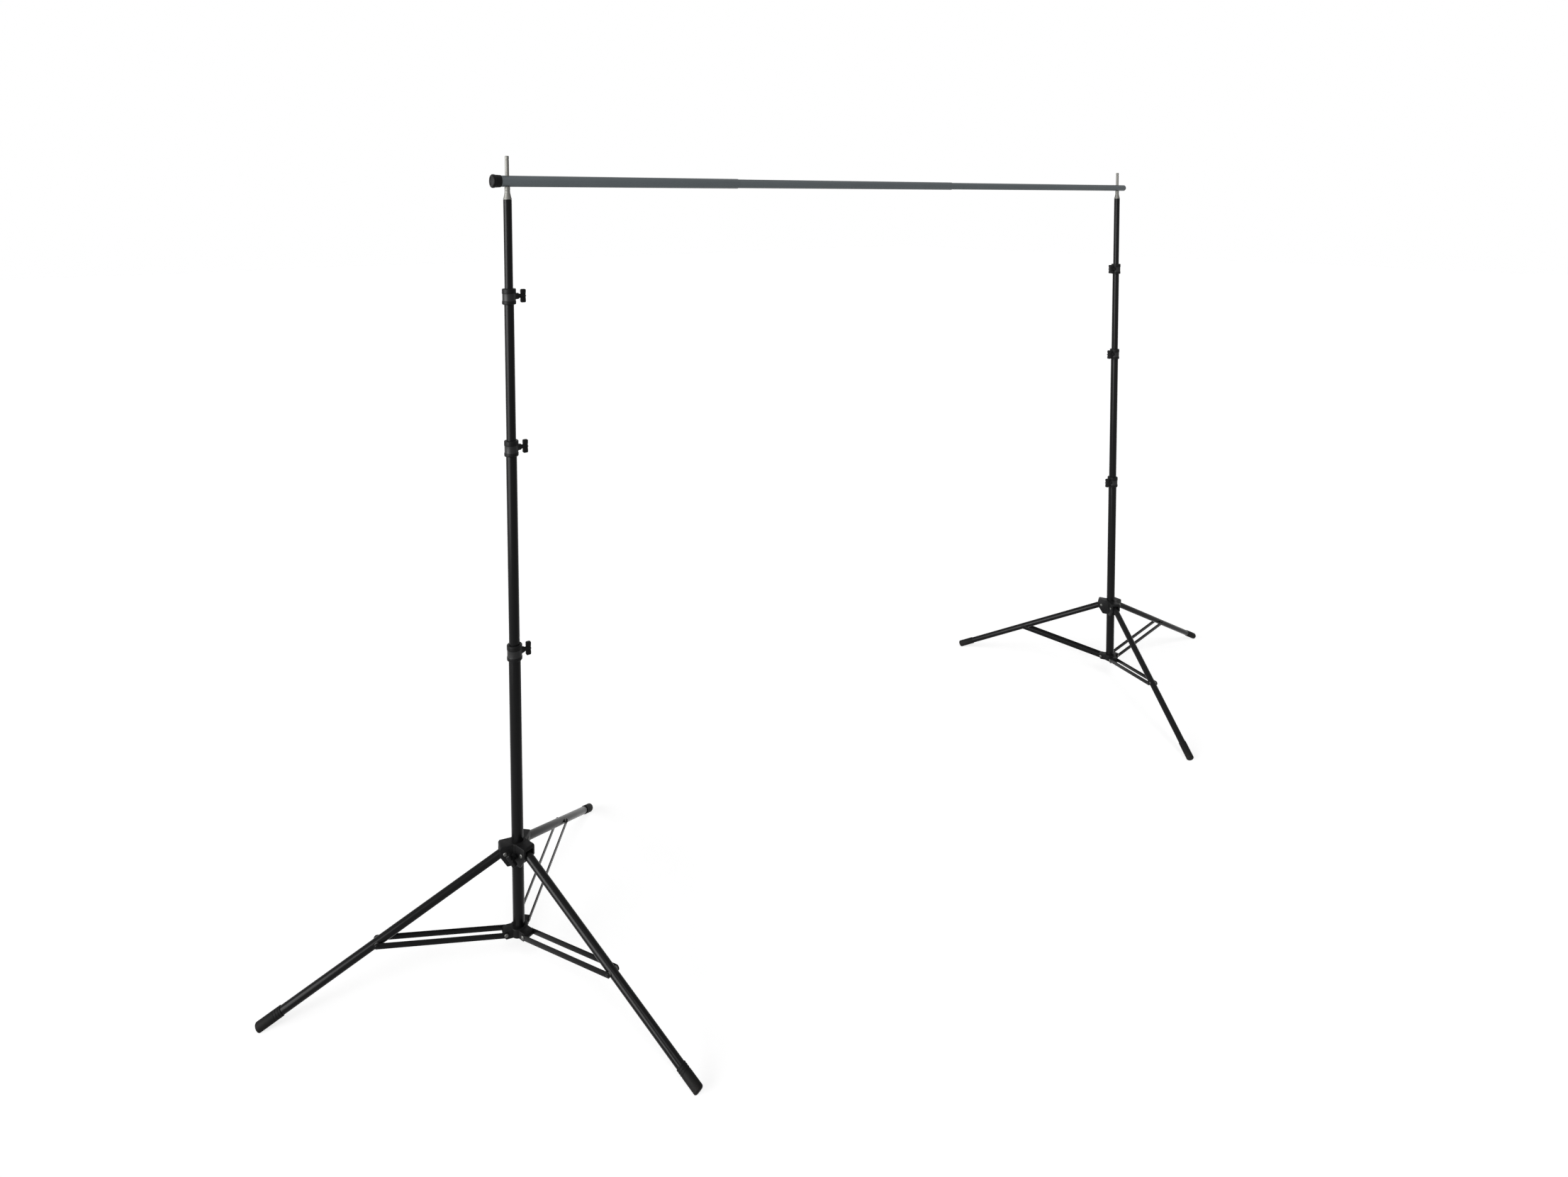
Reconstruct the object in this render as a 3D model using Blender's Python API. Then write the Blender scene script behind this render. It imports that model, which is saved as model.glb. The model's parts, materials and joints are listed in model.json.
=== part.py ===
"""A backdrop stand: two telescopic tripod stands that carry a telescopic crossbar on their top pins.

Metres, +Z up. The crossbar runs along X, the floor is at Z = 0 and the origin is the middle of the footprint.
Each stand is modelled in its own frame, with its axis at X = Y = 0 and its collar knobs pointing along +X,
which is towards the other stand.
"""

import math

import bmesh
import bpy
from mathutils import Matrix, Vector

# Layout
PIN_SPACING = 2.570
LEFT_LEGS_TURN = math.radians(-13.8)
RIGHT_LEGS_TURN = math.radians(-1.3)
LEG_TURNS = (60.0, 180.0, 300.0)
LEG_KNOB_TURN = math.radians(240.0)

# Clearances
FIT_GAP = 0.0003
SLIDE_GAP = 0.0003

# Column and risers
COLUMN_RADIUS = 0.0150
TUBE_WALL = 0.0012
COLUMN_LENGTH = 0.7520
NEST_STEP = 0.0300
RISER_1_OUT = 0.5230
LEFT_RISER_2_OUT = 0.3820
RIGHT_RISER_2_OUT = 0.3440
LEFT_RISER_3_OUT = 0.2290

# Clamp collars
COLLAR_HEIGHT = 0.0400
COLLAR_LIP = 0.0080
COLLAR_CHAMFER = 0.0016
COLLAR_THICKNESS = (0.0043, 0.0043, 0.0054)
BOSS_END = 0.0250
BOSS_RADIUS = 0.0085
BOSS_TAPER = 0.0020

# Clamp knobs
SCREW_RADIUS = 0.0030
KNOB_HUB_RADIUS = 0.0060
KNOB_HUB_LENGTH = 0.0055
KNOB_BAR_HEIGHT = 0.0340
KNOB_BAR_DEPTH = 0.0125
KNOB_BAR_WIDTH = 0.0115
KNOB_BAR_WAIST = 0.0080
KNOB_BEVEL = 0.0025

# Riser guides and the column's bottom plug
GUIDE_FLANGE = 0.0040
GUIDE_SPIGOT = 0.0140
GUIDE_WALL = 0.0015
PLUG_FLANGE = 0.0030
PLUG_SPIGOT = 0.0140

# Legs
LEG_RADIUS = 0.0110
LEG_WALL = 0.0012
LEG_LENGTH = 0.6440
LEG_TILT = math.radians(26.4)
LEG_PIVOT_REACH = 0.0340
LEG_SOLID_TOP = 0.0300
FOOT_WALL = 0.0012
FOOT_SLEEVE = 0.0550
FOOT_END = 0.0060
FOOT_EDGE = 0.0030
FOOT_FLAT = 0.0030

# Leg collar
EAR_OUTER = 0.0170
EAR_REACH = 0.0470
LEG_COLLAR_RISE = 0.0200
LEG_COLLAR_DROP = 0.0340
SLEEVE_RADIUS = 0.0215
HOOD_CLEARANCE = 0.0015
LEG_COLLAR_BOSS_END = 0.0290
LEG_COLLAR_KNOB_DROP = 0.0080
LEG_KNOB_TILT = math.radians(35.0)

# Base collar and braces
BASE_PIVOT_HEIGHT = 0.0800
BASE_COLLAR_RISE = 0.0100
BASE_COLLAR_DROP = 0.0130
BASE_SLEEVE_RADIUS = 0.0215
BASE_LUG_RADIUS = 0.0085
BRACE_ON_LEG = 0.3450
BRACE_GAUGE = 0.0140
BRACE_THICKNESS = 0.0020
BRACE_WIDTH = 0.0140
RIVET_RADIUS = 0.0030
RIVET_HEAD_RADIUS = 0.0052
RIVET_HEAD_HEIGHT = 0.0022
BUSH_RADIUS = 0.0060

# Spigot and pin on top of each stand
SPIGOT_PLUG = 0.0350
SPIGOT_CONE = 0.0170
SPIGOT_NECK = 0.0140
SPIGOT_NECK_RADIUS = 0.0068
PIN_RADIUS = 0.0050
PIN_ABOVE_BAR = 0.0490
PIN_CHAMFER = 0.0012

# Crossbar
BAR_RADIUS = 0.0140
BAR_WALL = 0.0010
BAR_LEFT_OVERHANG = 0.0330
BAR_OUTER_TO_PIN = 0.7000
BAR_MIDDLE_OUT = 0.9000
BAR_HELD = 0.2500
BAR_RIGHT_OVERHANG = 0.0400
END_CAP_RADIUS = 0.0170
END_CAP_SLEEVE = 0.0150
END_CAP_DISC = 0.0080
END_CAP_SLEEVE_WALL = 0.0010
END_PLUG_FLANGE = 0.0025
END_PLUG_SPIGOT = 0.0150

# Facets
TUBE_SIDES = 18
PIN_SIDES = 12
RIVET_SIDES = 8
HUB_SIDES = 20

# Worked out from the sizes above
TUBE_STEP = TUBE_WALL + SLIDE_GAP
TUBE_RADII = [COLUMN_RADIUS - TUBE_STEP * number for number in range(4)]
TUBE_LENGTHS = [COLUMN_LENGTH - NEST_STEP * number for number in range(4)]
BAR_RADII = [BAR_RADIUS - (BAR_WALL + SLIDE_GAP) * number for number in range(3)]
KNOB_DROP = COLLAR_HEIGHT / 2 - COLLAR_LIP
SPIGOT_RISE = SPIGOT_CONE + SPIGOT_NECK
FOOT_RADIUS = LEG_RADIUS + FIT_GAP + FOOT_WALL
FOOT_END_HEIGHT = FOOT_RADIUS * math.cos(LEG_TILT) - FOOT_FLAT
LEG_PIVOT_HEIGHT = FOOT_END_HEIGHT + LEG_LENGTH * math.sin(LEG_TILT)
LEG_TUBE_LENGTH = LEG_LENGTH - FOOT_END - FIT_GAP
SLOT_HALF_WIDTH = LEG_RADIUS + FIT_GAP
SLOT_START = LEG_PIVOT_REACH - LEG_RADIUS - HOOD_CLEARANCE
BRACE_REACH = BRACE_ON_LEG * math.cos(LEG_TILT)
BRACE_RISE = LEG_PIVOT_HEIGHT - BRACE_ON_LEG * math.sin(LEG_TILT) - BASE_PIVOT_HEIGHT
BRACE_LENGTH = math.hypot(BRACE_REACH, BRACE_RISE)
BRACE_TILT = math.atan2(BRACE_RISE, BRACE_REACH)
BRACE_OUTER = BRACE_GAUGE + BRACE_THICKNESS
COLUMN_BOTTOM = BASE_PIVOT_HEIGHT - BASE_COLLAR_DROP
COLUMN_TOP = COLUMN_BOTTOM + COLUMN_LENGTH
LEFT_MAST_TOP = COLUMN_TOP + RISER_1_OUT + LEFT_RISER_2_OUT + LEFT_RISER_3_OUT
BAR_HEIGHT = LEFT_MAST_TOP + SPIGOT_RISE + FIT_GAP + BAR_RADII[0]

ALONG_X = Matrix.Rotation(math.pi / 2, 4, "Y")
ALONG_Y = Matrix.Rotation(-math.pi / 2, 4, "X")


# Modelling helpers


def material(name, colour, roughness, metallic):
    """A Principled surface with one colour."""
    made = bpy.data.materials.new(name)
    made.use_nodes = True
    shader = made.node_tree.nodes["Principled BSDF"]
    shader.inputs["Base Color"].default_value = (*colour, 1.0)
    shader.inputs["Roughness"].default_value = roughness
    shader.inputs["Metallic"].default_value = metallic
    return made


def object_of(name, shape):
    """Turns a bmesh into an object with outward faces."""
    bmesh.ops.recalc_face_normals(shape, faces=shape.faces)
    mesh = bpy.data.meshes.new(name)
    shape.to_mesh(mesh)
    shape.free()
    made = bpy.data.objects.new(name, mesh)
    bpy.context.scene.collection.objects.link(made)
    return made


def turned(name, profile, sides, turn=Matrix()):
    """Revolves a closed outline of (radius, height) points round Z, then applies the turn."""
    shape = bmesh.new()
    points = [shape.verts.new((radius, 0.0, height)) for radius, height in profile]
    for start, end in zip(points, points[1:] + points[:1]):
        shape.edges.new((start, end))
    bmesh.ops.spin(
        shape,
        geom=shape.verts[:] + shape.edges[:],
        cent=(0.0, 0.0, 0.0),
        axis=(0.0, 0.0, 1.0),
        angle=2 * math.pi,
        steps=sides,
        use_merge=True,
    )
    bmesh.ops.remove_doubles(shape, verts=shape.verts[:], dist=1e-6)
    on_axis = [edge for edge in shape.edges if not edge.link_faces]
    bmesh.ops.delete(shape, geom=on_axis, context="EDGES")
    bmesh.ops.transform(shape, matrix=turn, verts=shape.verts[:])
    return object_of(name, shape)


def rod(name, radius, low, high, sides, turn=Matrix()):
    """A plain cylinder along Z from low to high."""
    return turned(name, [(0.0, low), (radius, low), (radius, high), (0.0, high)], sides, turn)


def slab(name, outline, low, high, turn=Matrix()):
    """Extrudes an outline of (x, z) points along Y from low to high."""
    shape = bmesh.new()
    face = shape.faces.new([shape.verts.new((x, low, z)) for x, z in outline])
    made = bmesh.ops.extrude_face_region(shape, geom=[face])
    moved = [item for item in made["geom"] if isinstance(item, bmesh.types.BMVert)]
    bmesh.ops.translate(shape, vec=(0.0, high - low, 0.0), verts=moved)
    bmesh.ops.transform(shape, matrix=turn, verts=shape.verts[:])
    return object_of(name, shape)


def arc(centre, radius, start, end, steps):
    """Points on an arc in the XZ plane, with angles in degrees."""
    angles = [math.radians(start + (end - start) * step / steps) for step in range(steps + 1)]
    return [(centre[0] + radius * math.cos(a), centre[1] + radius * math.sin(a)) for a in angles]


def boolean(target, tool, operation):
    """Adds an exact Boolean to the target and hides its tool."""
    modifier = target.modifiers.new(tool.name, "BOOLEAN")
    modifier.operation = operation
    modifier.solver = "EXACT"
    modifier.object = tool
    tool.hide_render = True
    tool.display_type = "WIRE"


def join(target, tools):
    for tool in tools:
        boolean(target, tool, "UNION")


def cut(target, tools):
    for tool in tools:
        boolean(target, tool, "DIFFERENCE")


def finished_mesh(target):
    """Applies the target's Booleans and removes the objects that made it."""
    bpy.context.view_layer.update()
    graph = bpy.context.evaluated_depsgraph_get()
    mesh = bpy.data.meshes.new_from_object(target.evaluated_get(graph))
    for tool in [modifier.object for modifier in target.modifiers]:
        bpy.data.objects.remove(tool)
    mesh.name = target.name
    bpy.data.objects.remove(target)
    mesh.shade_smooth()
    mesh.set_sharp_from_angle(angle=math.radians(35))
    return mesh


def place(name, mesh, surface, parent, location, rotation=(0.0, 0.0, 0.0)):
    """Puts a finished piece in its parent's frame."""
    made = bpy.data.objects.new(name, mesh)
    bpy.context.scene.collection.objects.link(made)
    if not mesh.materials:
        mesh.materials.append(surface)
    made.parent = parent
    made.location = location
    made.rotation_euler = rotation
    return made


def empty(name, parent, location, turn):
    made = bpy.data.objects.new(name, None)
    bpy.context.scene.collection.objects.link(made)
    made.parent = parent
    made.location = location
    made.rotation_euler = (0.0, 0.0, turn)
    return made


# Tubes, collars and knobs


def tube_mesh(name, radius, wall, length, screw_holes):
    """An open tube along Z, with a hole on its +X side for each clamp screw."""
    bore = radius - wall
    tube = turned(name, [(bore, 0.0), (radius, 0.0), (radius, length), (bore, length)], TUBE_SIDES)
    for number, height in enumerate(screw_holes):
        lift = Matrix.Translation((0.0, 0.0, height))
        hole_radius = SCREW_RADIUS + 2 * FIT_GAP
        cut(tube, [rod(f"{name}_hole_{number}", hole_radius, 0.0, 2 * radius, RIVET_SIDES, lift @ ALONG_X)])
    return finished_mesh(tube)


def collar_mesh(name, tube_radius, riser_radius, thickness):
    """A clamp collar round the top of a tube, whose rim is at height 0, with the boss of its screw."""
    outer = tube_radius + thickness
    bottom = COLLAR_LIP - COLLAR_HEIGHT
    profile = [
        (0.0, bottom),
        (outer - COLLAR_CHAMFER, bottom),
        (outer, bottom + COLLAR_CHAMFER),
        (outer, COLLAR_LIP - COLLAR_CHAMFER),
        (outer - COLLAR_CHAMFER, COLLAR_LIP),
        (0.0, COLLAR_LIP),
    ]
    collar = turned(name, profile, TUBE_SIDES)
    sideways = Matrix.Translation((0.0, 0.0, -KNOB_DROP)) @ ALONG_X
    boss_profile = [(0.0, 0.0), (BOSS_RADIUS + BOSS_TAPER, 0.0), (BOSS_RADIUS, BOSS_END), (0.0, BOSS_END)]
    join(collar, [turned(f"{name}_boss", boss_profile, PIN_SIDES, sideways)])
    tube_bore = rod(f"{name}_tube_bore", tube_radius + FIT_GAP, -COLLAR_HEIGHT, FIT_GAP, TUBE_SIDES)
    riser_bore = rod(f"{name}_riser_bore", riser_radius + FIT_GAP, -COLLAR_HEIGHT, COLLAR_HEIGHT, TUBE_SIDES)
    screw_hole = rod(f"{name}_screw_hole", SCREW_RADIUS + FIT_GAP, 0.0, 2 * BOSS_END, RIVET_SIDES, sideways)
    cut(collar, [tube_bore, riser_bore, screw_hole])
    return finished_mesh(collar)


def knob_mesh(name, screw_length):
    """A T knob along +X: its hub starts at the origin and its clamp screw runs back from there."""
    knob = rod(name, KNOB_HUB_RADIUS, 0.0, KNOB_HUB_LENGTH + KNOB_BAR_DEPTH / 2, PIN_SIDES, ALONG_X)
    shape = bmesh.new()
    bmesh.ops.create_cube(shape, size=1.0)
    bmesh.ops.scale(shape, vec=(KNOB_BAR_DEPTH, KNOB_BAR_WIDTH, KNOB_BAR_HEIGHT), verts=shape.verts)
    bmesh.ops.bevel(
        shape,
        geom=shape.edges[:],
        offset=KNOB_BEVEL,
        segments=1,
        profile=0.5,
        affect="EDGES",
        material=-1,
    )
    everything = shape.verts[:] + shape.edges[:] + shape.faces[:]
    middle = bmesh.ops.bisect_plane(shape, geom=everything, plane_co=(0.0, 0.0, 0.0), plane_no=(0.0, 0.0, 1.0))
    for item in middle["geom_cut"]:
        if isinstance(item, bmesh.types.BMVert):
            item.co.y -= math.copysign((KNOB_BAR_WIDTH - KNOB_BAR_WAIST) / 2, item.co.y)
    bmesh.ops.translate(shape, vec=(KNOB_HUB_LENGTH + KNOB_BAR_DEPTH / 2, 0.0, 0.0), verts=shape.verts)
    bar = object_of(f"{name}_bar", shape)
    screw = rod(f"{name}_screw", SCREW_RADIUS, -screw_length, KNOB_HUB_LENGTH / 2, RIVET_SIDES, ALONG_X)
    join(knob, [bar, screw])
    return finished_mesh(knob)


def guide_mesh(name, radius):
    """The plastic ring in a riser's lower end: its flange runs in the bore of the tube outside."""
    spigot = radius - TUBE_WALL - FIT_GAP
    bore = spigot - GUIDE_WALL
    guide = turned(
        name,
        [
            (bore, -GUIDE_FLANGE - FIT_GAP),
            (radius, -GUIDE_FLANGE - FIT_GAP),
            (radius, -FIT_GAP),
            (spigot, -FIT_GAP),
            (spigot, GUIDE_SPIGOT),
            (bore, GUIDE_SPIGOT),
        ],
        TUBE_SIDES,
    )
    return finished_mesh(guide)


def plug_mesh(name, radius, wall, flange, spigot, edge):
    """A flanged plug for the lower end of a tube whose rim is at height 0."""
    inner = radius - wall - FIT_GAP
    plug = turned(
        name,
        [
            (0.0, -flange - FIT_GAP),
            (radius - edge, -flange - FIT_GAP),
            (radius, edge - flange - FIT_GAP),
            (radius, -FIT_GAP),
            (inner, -FIT_GAP),
            (inner, spigot),
            (0.0, spigot),
        ],
        TUBE_SIDES,
    )
    return finished_mesh(plug)


def spigot_mesh(name, tube_radius, bar_radius):
    """The metal spigot in a stand's top tube: plug, cone, neck with a shoulder for the bar, and pin."""
    plug_radius = tube_radius - TUBE_WALL - FIT_GAP
    pin_top = SPIGOT_RISE + 2 * bar_radius + PIN_ABOVE_BAR
    spigot = turned(
        name,
        [
            (0.0, -SPIGOT_PLUG),
            (plug_radius, -SPIGOT_PLUG),
            (plug_radius, FIT_GAP),
            (tube_radius, FIT_GAP),
            (tube_radius, FIT_GAP + SPIGOT_CONE / 8),
            (SPIGOT_NECK_RADIUS, SPIGOT_CONE),
            (SPIGOT_NECK_RADIUS, SPIGOT_RISE),
            (PIN_RADIUS, SPIGOT_RISE),
            (PIN_RADIUS, pin_top - PIN_CHAMFER),
            (PIN_RADIUS - PIN_CHAMFER, pin_top),
            (0.0, pin_top),
        ],
        PIN_SIDES,
    )
    return finished_mesh(spigot)


# Tripod


def leg_mesh():
    """A leg tube along +X from its pivot, with a rounded solid top end and the bush that its brace takes."""
    profile = arc((0.0, 0.0), LEG_RADIUS, -90, 0, 3) + [
        (LEG_RADIUS, LEG_TUBE_LENGTH),
        (LEG_RADIUS - LEG_WALL, LEG_TUBE_LENGTH),
        (LEG_RADIUS - LEG_WALL, LEG_SOLID_TOP),
        (0.0, LEG_SOLID_TOP),
    ]
    profile[0] = (0.0, -LEG_RADIUS)
    leg = turned("leg", profile, TUBE_SIDES, ALONG_X)
    bush_place = Matrix.Translation((BRACE_ON_LEG, 0.0, 0.0)) @ ALONG_Y
    bush_half = BRACE_GAUGE - FIT_GAP
    join(leg, [rod("leg_bush", BUSH_RADIUS, -bush_half, bush_half, RIVET_SIDES, bush_place)])
    wide = 2 * LEG_RADIUS
    cut(leg, [rod("leg_hole", RIVET_RADIUS + FIT_GAP, -wide, wide, RIVET_SIDES, ALONG_Y)])
    return finished_mesh(leg)


def foot_mesh():
    """The rubber cap on a leg, in the leg's frame, cut flat where it rests on the floor."""
    start = LEG_LENGTH - FOOT_END - FOOT_SLEEVE
    foot = turned(
        "foot",
        [
            (LEG_RADIUS + FIT_GAP, start),
            (FOOT_RADIUS, start),
            (FOOT_RADIUS, LEG_LENGTH - FOOT_EDGE),
            (FOOT_RADIUS - FOOT_EDGE, LEG_LENGTH),
            (0.0, LEG_LENGTH),
            (0.0, LEG_LENGTH - FOOT_END),
            (LEG_RADIUS + FIT_GAP, LEG_LENGTH - FOOT_END),
        ],
        TUBE_SIDES,
        ALONG_X,
    )
    floor = Matrix.Rotation(-LEG_TILT, 4, "Y") @ Matrix.Translation((0.0, 0.0, -LEG_PIVOT_HEIGHT))
    below = [(0.0, 0.0), (2 * LEG_LENGTH, 0.0), (2 * LEG_LENGTH, -LEG_RADIUS), (0.0, -LEG_RADIUS)]
    cut(foot, [slab("foot_floor", below, -LEG_LENGTH, LEG_LENGTH, floor)])
    return finished_mesh(foot)


def brace_mesh():
    """Two flat bars along +X with the rivet that hinges them on the base collar and their outer rivet heads."""
    half = BRACE_WIDTH / 2
    outline = arc((0.0, 0.0), half, 90, 270, 6) + arc((BRACE_LENGTH, 0.0), half, -90, 90, 6)
    brace = slab("brace", outline, BRACE_GAUGE, BRACE_OUTER)
    second = slab("brace_second", outline, -BRACE_OUTER, -BRACE_GAUGE)
    head = BRACE_OUTER + RIVET_HEAD_HEIGHT
    half_rivet = BRACE_OUTER + RIVET_HEAD_HEIGHT / 2
    rivet = rod("brace_rivet", RIVET_RADIUS, -half_rivet, half_rivet, RIVET_SIDES, ALONG_Y)
    heads = []
    for place_name, reach in (("inner", 0.0), ("outer", BRACE_LENGTH)):
        for side in (-1, 1):
            low, high = sorted((side * (BRACE_OUTER - BRACE_THICKNESS / 2), side * head))
            turn = Matrix.Translation((reach, 0.0, 0.0)) @ ALONG_Y
            heads.append(rod(f"brace_{place_name}_{side}", RIVET_HEAD_RADIUS, low, high, RIVET_SIDES, turn))
    join(brace, [second, rivet] + heads)
    return finished_mesh(brace)


def leg_collar_mesh():
    """The sliding leg collar, with three hooded slots for the legs, their rivets and the boss of its knob.

    Its origin is on the column's axis at the height of the leg pivots.
    """
    profile = [
        (0.0, -LEG_COLLAR_DROP),
        (SLEEVE_RADIUS, -LEG_COLLAR_DROP),
        (SLEEVE_RADIUS, LEG_COLLAR_RISE),
        (0.0, LEG_COLLAR_RISE),
    ]
    collar = turned("leg_collar", profile, HUB_SIDES)
    foot_of_ear = LEG_PIVOT_REACH - RIVET_HEAD_RADIUS
    ear = [
        (0.0, -LEG_COLLAR_DROP),
        (foot_of_ear, -LEG_COLLAR_DROP),
        (EAR_REACH, -RIVET_HEAD_RADIUS),
        (EAR_REACH, LEG_COLLAR_RISE - COLLAR_CHAMFER),
        (EAR_REACH - COLLAR_CHAMFER, LEG_COLLAR_RISE),
        (0.0, LEG_COLLAR_RISE),
    ]
    roof = LEG_RADIUS + HOOD_CLEARANCE
    slot = [
        (SLOT_START, -2 * LEG_COLLAR_DROP),
        (2 * EAR_REACH, -2 * LEG_COLLAR_DROP),
        (2 * EAR_REACH, roof),
        (SLOT_START, roof),
    ]
    ears = []
    slots = []
    rivets = []
    head = EAR_OUTER + RIVET_HEAD_HEIGHT
    half_rivet = EAR_OUTER + RIVET_HEAD_HEIGHT / 2
    for name, degrees in enumerate(LEG_TURNS):
        turn = Matrix.Rotation(math.radians(degrees), 4, "Z")
        pivot = turn @ Matrix.Translation((LEG_PIVOT_REACH, 0.0, 0.0)) @ ALONG_Y
        ears.append(slab(f"ear_{name}", ear, -EAR_OUTER, EAR_OUTER, turn))
        slots.append(slab(f"slot_{name}", slot, -SLOT_HALF_WIDTH, SLOT_HALF_WIDTH, turn))
        rivets.append(rod(f"rivet_{name}", RIVET_RADIUS, -half_rivet, half_rivet, RIVET_SIDES, pivot))
        for side in (-1, 1):
            low, high = sorted((side * (EAR_OUTER - RIVET_HEAD_HEIGHT), side * head))
            rivets.append(rod(f"head_{name}_{side}", RIVET_HEAD_RADIUS, low, high, RIVET_SIDES, pivot))
    knob_turn = Matrix.Rotation(LEG_KNOB_TURN, 4, "Z")
    sideways = Matrix.Translation((0.0, 0.0, -LEG_COLLAR_KNOB_DROP)) @ knob_turn @ ALONG_X
    boss = rod("leg_collar_boss", BOSS_RADIUS, 0.0, LEG_COLLAR_BOSS_END, PIN_SIDES, sideways)
    join(collar, ears + [boss])
    bore_radius = COLUMN_RADIUS + SLIDE_GAP
    bore = rod("leg_collar_bore", bore_radius, -2 * LEG_COLLAR_DROP, 2 * LEG_COLLAR_RISE, HUB_SIDES)
    screw_hole_radius = SCREW_RADIUS + FIT_GAP
    screw_hole = rod("leg_collar_screw_hole", screw_hole_radius, 0.0, 2 * EAR_REACH, RIVET_SIDES, sideways)
    cut(collar, slots + [bore, screw_hole])
    join(collar, rivets)
    return finished_mesh(collar)


def base_collar_mesh():
    """The fixed collar at the column's foot, with a lug for each brace. Its origin is at the brace pivots."""
    profile = [
        (0.0, -BASE_COLLAR_DROP),
        (BASE_SLEEVE_RADIUS, -BASE_COLLAR_DROP),
        (BASE_SLEEVE_RADIUS, BASE_COLLAR_RISE),
        (0.0, BASE_COLLAR_RISE),
    ]
    collar = turned("base_collar", profile, HUB_SIDES)
    outline = [(0.0, BASE_LUG_RADIUS), (0.0, -BASE_COLLAR_DROP), (LEG_PIVOT_REACH, -BASE_COLLAR_DROP)]
    outline += arc((LEG_PIVOT_REACH, 0.0), BASE_LUG_RADIUS, -60, 90, 8)
    half = BRACE_GAUGE - FIT_GAP
    lugs = []
    holes = []
    for name, degrees in enumerate(LEG_TURNS):
        turn = Matrix.Rotation(math.radians(degrees), 4, "Z")
        pivot = turn @ Matrix.Translation((LEG_PIVOT_REACH, 0.0, 0.0)) @ ALONG_Y
        lugs.append(slab(f"lug_{name}", outline, -half, half, turn))
        holes.append(rod(f"hole_{name}", RIVET_RADIUS + FIT_GAP, -2 * half, 2 * half, RIVET_SIDES, pivot))
    join(collar, lugs)
    bore_radius = COLUMN_RADIUS + FIT_GAP
    bore = rod("base_collar_bore", bore_radius, -2 * BASE_COLLAR_DROP, 2 * BASE_COLLAR_RISE, HUB_SIDES)
    cut(collar, [bore] + holes)
    return finished_mesh(collar)


# Crossbar


def bar_mesh(name, number, start, end, pin_at):
    """One section of the crossbar along X, with the hole that a pin goes through if it has one."""
    radius = BAR_RADII[number]
    bore = radius - BAR_WALL
    section = turned(name, [(bore, start), (radius, start), (radius, end), (bore, end)], TUBE_SIDES, ALONG_X)
    if pin_at is not None:
        upright = Matrix.Translation((pin_at, 0.0, 0.0))
        hole_radius = PIN_RADIUS + FIT_GAP
        cut(section, [rod(f"{name}_pin_hole", hole_radius, -2 * radius, 2 * radius, PIN_SIDES, upright)])
    return finished_mesh(section)


def end_cap_mesh():
    """The plastic cap on the crossbar's left end: a wide disc and a short sleeve over the tube."""
    bore = BAR_RADIUS + FIT_GAP
    sleeve = bore + END_CAP_SLEEVE_WALL
    tube_end = -BAR_LEFT_OVERHANG
    disc_end = tube_end - FIT_GAP - END_CAP_DISC
    edge = END_CAP_DISC / 4
    cap = turned(
        "bar_end_cap",
        [
            (0.0, disc_end),
            (END_CAP_RADIUS - edge, disc_end),
            (END_CAP_RADIUS, disc_end + edge),
            (END_CAP_RADIUS, tube_end),
            (sleeve, tube_end + END_CAP_SLEEVE),
            (bore, tube_end + END_CAP_SLEEVE),
            (bore, tube_end - FIT_GAP),
            (0.0, tube_end - FIT_GAP),
        ],
        TUBE_SIDES,
        ALONG_X,
    )
    return finished_mesh(cap)


# Assembly


def build_mast(side, root, rims, surfaces, shared):
    """The column and its three risers, with their collars, knobs and guides. rims are the tubes' top heights."""
    for number, rim in enumerate(rims):
        tube_name = f"riser_{number}" if number else "column"
        bottom = (0.0, 0.0, rim - TUBE_LENGTHS[number])
        place(f"{side}_{tube_name}", shared[tube_name], surfaces["tube"], root, bottom)
        if number:
            place(f"{side}_guide_{number}", shared[f"guide_{number}"], surfaces["nylon"], root, bottom)
    for number, rim in enumerate(rims[:3], 1):
        knob_place = (BOSS_END + FIT_GAP, 0.0, rim - KNOB_DROP)
        place(f"{side}_collar_{number}", shared[f"collar_{number}"], surfaces["plastic"], root, (0, 0, rim))
        place(f"{side}_knob_{number}", shared[f"knob_{number}"], surfaces["knob"], root, knob_place)
    bottom = (0.0, 0.0, COLUMN_BOTTOM)
    place(f"{side}_bottom_plug", shared["bottom_plug"], surfaces["plastic"], root, bottom)


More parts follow.
